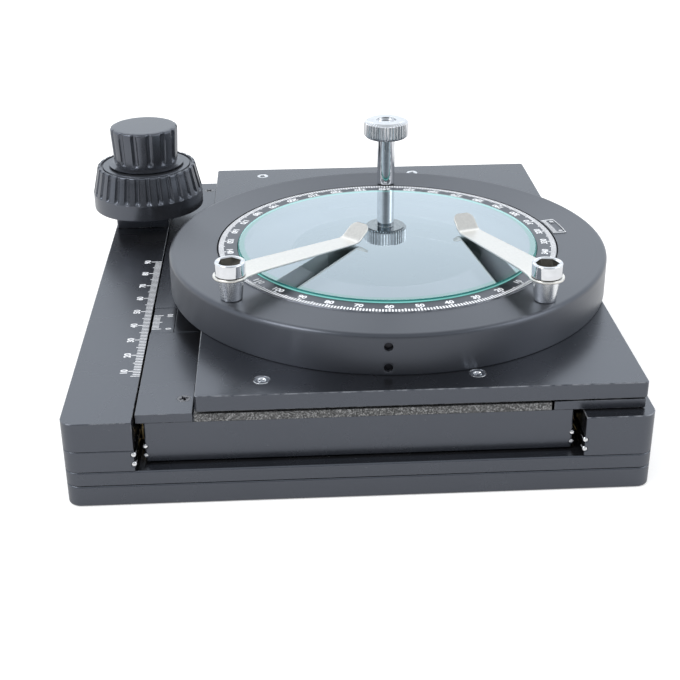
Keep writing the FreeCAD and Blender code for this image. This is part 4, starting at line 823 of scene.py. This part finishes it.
# Filled figures, centred on a spot, whose baseline runs along the direction given as right.
def figures(text, high, spot, right, height):
    if text not in figureCache:
        curve = bpy.data.curves.new("figures", "FONT")
        curve.body, curve.size, curve.resolution_u, curve.offset = text, 1.0, 3, 0.04
        curve.align_x, curve.align_y = "CENTER", "CENTER"
        holder = bpy.data.objects.new("figures", curve)
        scene.collection.objects.link(holder)
        mesh = bpy.data.meshes.new_from_object(holder.evaluated_get(bpy.context.evaluated_depsgraph_get()))
        flat = np.empty(len(mesh.vertices) * 3)
        mesh.vertices.foreach_get("co", flat)
        flat = flat.reshape(-1, 3)[:, :2]
        corner, start = np.empty(len(mesh.loops), np.int32), np.empty(len(mesh.polygons), np.int32)
        mesh.loops.foreach_get("vertex_index", corner)
        mesh.polygons.foreach_get("loop_start", start)
        flat = flat - (flat.min(0) + flat.max(0)) / 2
        faces = [face.tolist() for face in np.split(corner, start[1:])]
        figureCache[text] = flat / (flat[:, 1].max() - flat[:, 1].min()), faces
        bpy.data.objects.remove(holder)
        bpy.data.meshes.remove(mesh)
        bpy.data.curves.remove(curve)
    flat, faces = figureCache[text]
    right = np.asarray(right, float)
    up = np.array([-right[1], right[0]])
    points = np.asarray(spot) + flat[:, :1] * high * right + flat[:, 1:] * high * up
    return np.c_[points, np.full(len(points), height)], faces


# Every tenth mark is long, every fifth of middle length
def markLengths(steps, values):
    rest = np.where(steps % 5 == 0, values["middle"], values["short"])
    return np.where(steps % 10 == 0, values["long"], rest)


# Millimetre scale on the left plate. The third step carries the first figure.
scale = dict(edge=-80.3, front=-51.5, count=84, labelX=-85.0, firstLabel=-48.5, figure=2.15, line=0.40,
             short=2.1, middle=2.6, long=3.5, height=25.215)
steps = np.arange(scale["count"])
places = np.c_[np.full(scale["count"], scale["edge"]), scale["front"] + steps]
reach = markLengths(steps - 3, scale)
reach[0] = scale["middle"]
outward = np.tile([-1.0, 0.0], (scale["count"], 1))
marks = [bars(places, outward, 0.0, reach, scale["line"], scale["height"])]
for k in range(9):
    spot = (scale["labelX"], scale["firstLabel"] + 10 * k)
    marks.append(figures(str(10 * (k + 1)), scale["figure"], spot, (0, 1), scale["height"]))
piece("scale_marks", joined(*marks), "whitePaint", body="base")

vernier = dict(edge=-79.5, front=-21.2, back=-11.7, line=0.40, short=2.1, long=2.9, figure=1.8, labelX=-74.5,
               height=25.115)
places = np.c_[np.full(11, vernier["edge"]), np.linspace(vernier["front"], vernier["back"], 11)]
reach = np.where(np.arange(11) % 5 == 0, vernier["long"], vernier["short"])
marks = [bars(places, np.tile([1.0, 0.0], (11, 1)), 0.05, reach, vernier["line"], vernier["height"]),
         figures("0", vernier["figure"], (vernier["labelX"], vernier["front"]), (0, 1), vernier["height"]),
         figures("10", vernier["figure"], (vernier["labelX"], vernier["back"]), (0, 1), vernier["height"])]
piece("vernier_marks", joined(*marks), "whitePaint", body="y_slide")

# Degree scale on the dial, with a figure every ten degrees
degrees = dict(label=-94.1, first=60, figureRadius=49.15, figure=2.1, outer=52.55, short=1.55, middle=1.9,
               long=2.2, line=0.54, height=42.215)
turns = np.radians(degrees["label"] + np.arange(360.0))
rays = np.c_[np.cos(turns), np.sin(turns)]
outer = degrees["outer"]
middles = np.tile(ringCentre, (360, 1))
starts = outer - markLengths(np.arange(360), degrees)
marks = [bars(middles, rays, starts, outer, degrees["line"], degrees["height"])]
for k in range(36):
    ray = rays[10 * k]
    text, spot = str((degrees["first"] - 10 * k) % 360), ringCentre + ray * degrees["figureRadius"]
    marks.append(figures(text, degrees["figure"], spot, (-ray[1], ray[0]), degrees["height"]))
piece("dial_marks", joined(*marks), "whitePaint", body="rotor")

# Reading marks on the housing beside the dial
reading = dict(start=3.6, stop=15.0, inner=53.4, outer=57.6, line=0.42, frameLine=0.26, tick=1.5, figure=1.3,
               height=42.415)
turns = np.radians(np.linspace(reading["start"], reading["stop"], 13))
rays = np.c_[np.cos(turns), np.sin(turns)]
reach = np.where(np.arange(13) % 12 == 0, reading["outer"] - reading["inner"], reading["tick"])
inner, height = reading["inner"], reading["height"]
marks = [bars(np.tile(ringCentre, (13, 1)), rays, inner, inner + reach, reading["line"], height)]
fine = np.radians(np.linspace(reading["start"], reading["stop"], 25))
ends = ringCentre + reading["outer"] * np.c_[np.cos(fine), np.sin(fine)]
run = np.diff(ends, axis=0)
length = np.linalg.norm(run, axis=1)
marks.append(bars(ends[:-1], run / length[:, None], -0.05, length + 0.05, reading["frameLine"], height + 0.004))
for text, share in (("0", 0.13), ("10", 0.85)):
    turn = math.radians(reading["start"] + (reading["stop"] - reading["start"]) * share)
    ray = np.array([math.cos(turn), math.sin(turn)])
    spot = ringCentre + ray * (reading["outer"] - 1.25)
    marks.append(figures(text, reading["figure"], spot, (-ray[1], ray[0]), height))
piece("reading_marks", joined(*marks), "whitePaint", body="x_slide")
print("marks made")


# Every other solid keeps its mesh and takes its finish
for node, held in frame["nodes"].items():
    if not held.hide_render:
        held.data.materials.clear()
        held.data.materials.append(finishes["blackSteel" if node == "housing_set_screws" else slotOf[node]])


# Plain white surroundings: the camera, gloss and glass see white, and soft light falls on the object
light = dict(world=0.95, gloss=0.25, glow=0.4, glossGlow=0.08, floor=0.78)


def whiteOutside():
    world = bpy.data.worlds.new("studio")
    scene.world = world
    world.use_nodes = True
    nodes, links = world.node_tree.nodes, world.node_tree.links
    paths = nodes.new("ShaderNodeLightPath")
    seen = mathOf(nodes, links, "MAXIMUM", paths.outputs["Is Camera Ray"], paths.outputs["Is Transmission Ray"])
    shiny = mathOf(nodes, links, "MAXIMUM", seen, paths.outputs["Is Glossy Ray"])
    coords = nodes.new("ShaderNodeTexCoord")
    split = nodes.new("ShaderNodeSeparateXYZ")
    links.new(coords.outputs["Generated"], split.inputs["Vector"])
    leaning = mathOf(nodes, links, "MULTIPLY_ADD", split.outputs["Z"], 0.8, split.outputs["Y"])
    ahead = rampOf(nodes, links, mathOf(nodes, links, "MULTIPLY_ADD", leaning, 0.5, 0.5),
                   [(0.0, 0.08), (0.16, 0.22), (0.40, 1.0)])    # low down on the viewer's side it is darker
    above = rampOf(nodes, links, split.outputs["Z"], [(0.6, (0.88, 0.94, 1.0)), (0.85, (0.56, 0.59, 0.62))])
    mixed = nodes.new("ShaderNodeMix")
    mixed.data_type, mixed.blend_type = "RGBA", "MULTIPLY"
    mixed.inputs["Factor"].default_value = 1.0
    links.new(ahead, mixed.inputs[6])
    links.new(above, mixed.inputs[7])
    ahead = mixOf(nodes, links, seen, mixed.outputs[2], (1.0, 1.0, 1.0))
    back = nodes["Background"]
    links.new(mixOf(nodes, links, shiny, (0.97, 0.985, 1.0), ahead), back.inputs["Color"])
    strength = mathOf(nodes, links, "MULTIPLY_ADD", shiny, 1 - light["world"], light["world"])
    strength = mathOf(nodes, links, "MULTIPLY_ADD", paths.outputs["Is Glossy Ray"], light["gloss"], strength)
    links.new(strength, back.inputs["Strength"])


# White paper. It shines for the eye and for gloss, but not in the dark under the base, whose middle and
# half size are given in metres
darkPlace = dict(X=(-0.02, 0.07), Y=(0.017, 0.085))


def makeFloor():
    mesh = bpy.data.meshes.new("floor")
    mesh.from_pydata([(-4, -4, -0.0002), (4, -4, -0.0002), (4, 6, -0.0002), (-4, 6, -0.0002)], [], [(0, 1, 2, 3)])
    floor = bpy.data.objects.new("floor", mesh)
    scene.collection.objects.link(floor)
    material, nodes, links, shader, coords = newFinish("floor_white")
    cloud = noiseOf(nodes, links, coords, 3, 2)
    grey = rampOf(nodes, links, cloud, [(0.3, light["floor"] - 0.01), (0.7, light["floor"])])
    links.new(grey, shader.inputs["Base Color"])
    setShader(shader, rough=0.9, specular=0.0)
    paths = nodes.new("ShaderNodeLightPath")
    seen = mathOf(nodes, links, "MAXIMUM", paths.outputs["Is Camera Ray"], paths.outputs["Is Transmission Ray"])
    glow = mathOf(nodes, links, "MULTIPLY_ADD", paths.outputs["Is Glossy Ray"], light["glossGlow"],
                  mathOf(nodes, links, "MULTIPLY", seen, light["glow"]))
    split = nodes.new("ShaderNodeSeparateXYZ")
    links.new(coords, split.inputs["Vector"])
    past = []
    for axis, (middle, half) in darkPlace.items():
        away = mathOf(nodes, links, "SUBTRACT", split.outputs[axis], middle)
        past.append(mathOf(nodes, links, "SUBTRACT", mathOf(nodes, links, "ABSOLUTE", away), half))
    outside = mathOf(nodes, links, "GREATER_THAN", mathOf(nodes, links, "MAXIMUM", *past), 0.0)
    shader.inputs["Emission Color"].default_value = (1, 1, 1, 1)
    links.new(mathOf(nodes, links, "MULTIPLY", glow, outside), shader.inputs["Emission Strength"])
    mesh.materials.append(material)


# Place, target, width, height and watts of each soft box
lamps = dict(key=((-0.75, -0.35, 0.95), (-0.02, 0.02, 0.02), 0.55, 0.55, 5.5),
             fill=((0.85, -0.25, 0.7), (0, 0, 0.03), 0.6, 0.8, 2.0),
             rear=((0.0, 1.0, 0.8), (0, 0.05, 0.03), 1.2, 0.5, 0.8))


def softBox(name, place, target, wide, high, watts):
    lamp = bpy.data.lights.new(name, "AREA")
    lamp.shape, lamp.size, lamp.size_y, lamp.energy = "RECTANGLE", wide, high, watts
    held = bpy.data.objects.new(name, lamp)
    scene.collection.objects.link(held)
    held.location = place
    held.rotation_euler = (Vector(target) - Vector(place)).to_track_quat("-Z", "Y").to_euler()


whiteOutside()
makeFloor()
for name, values in lamps.items():
    softBox(name, *values)
print("light set")
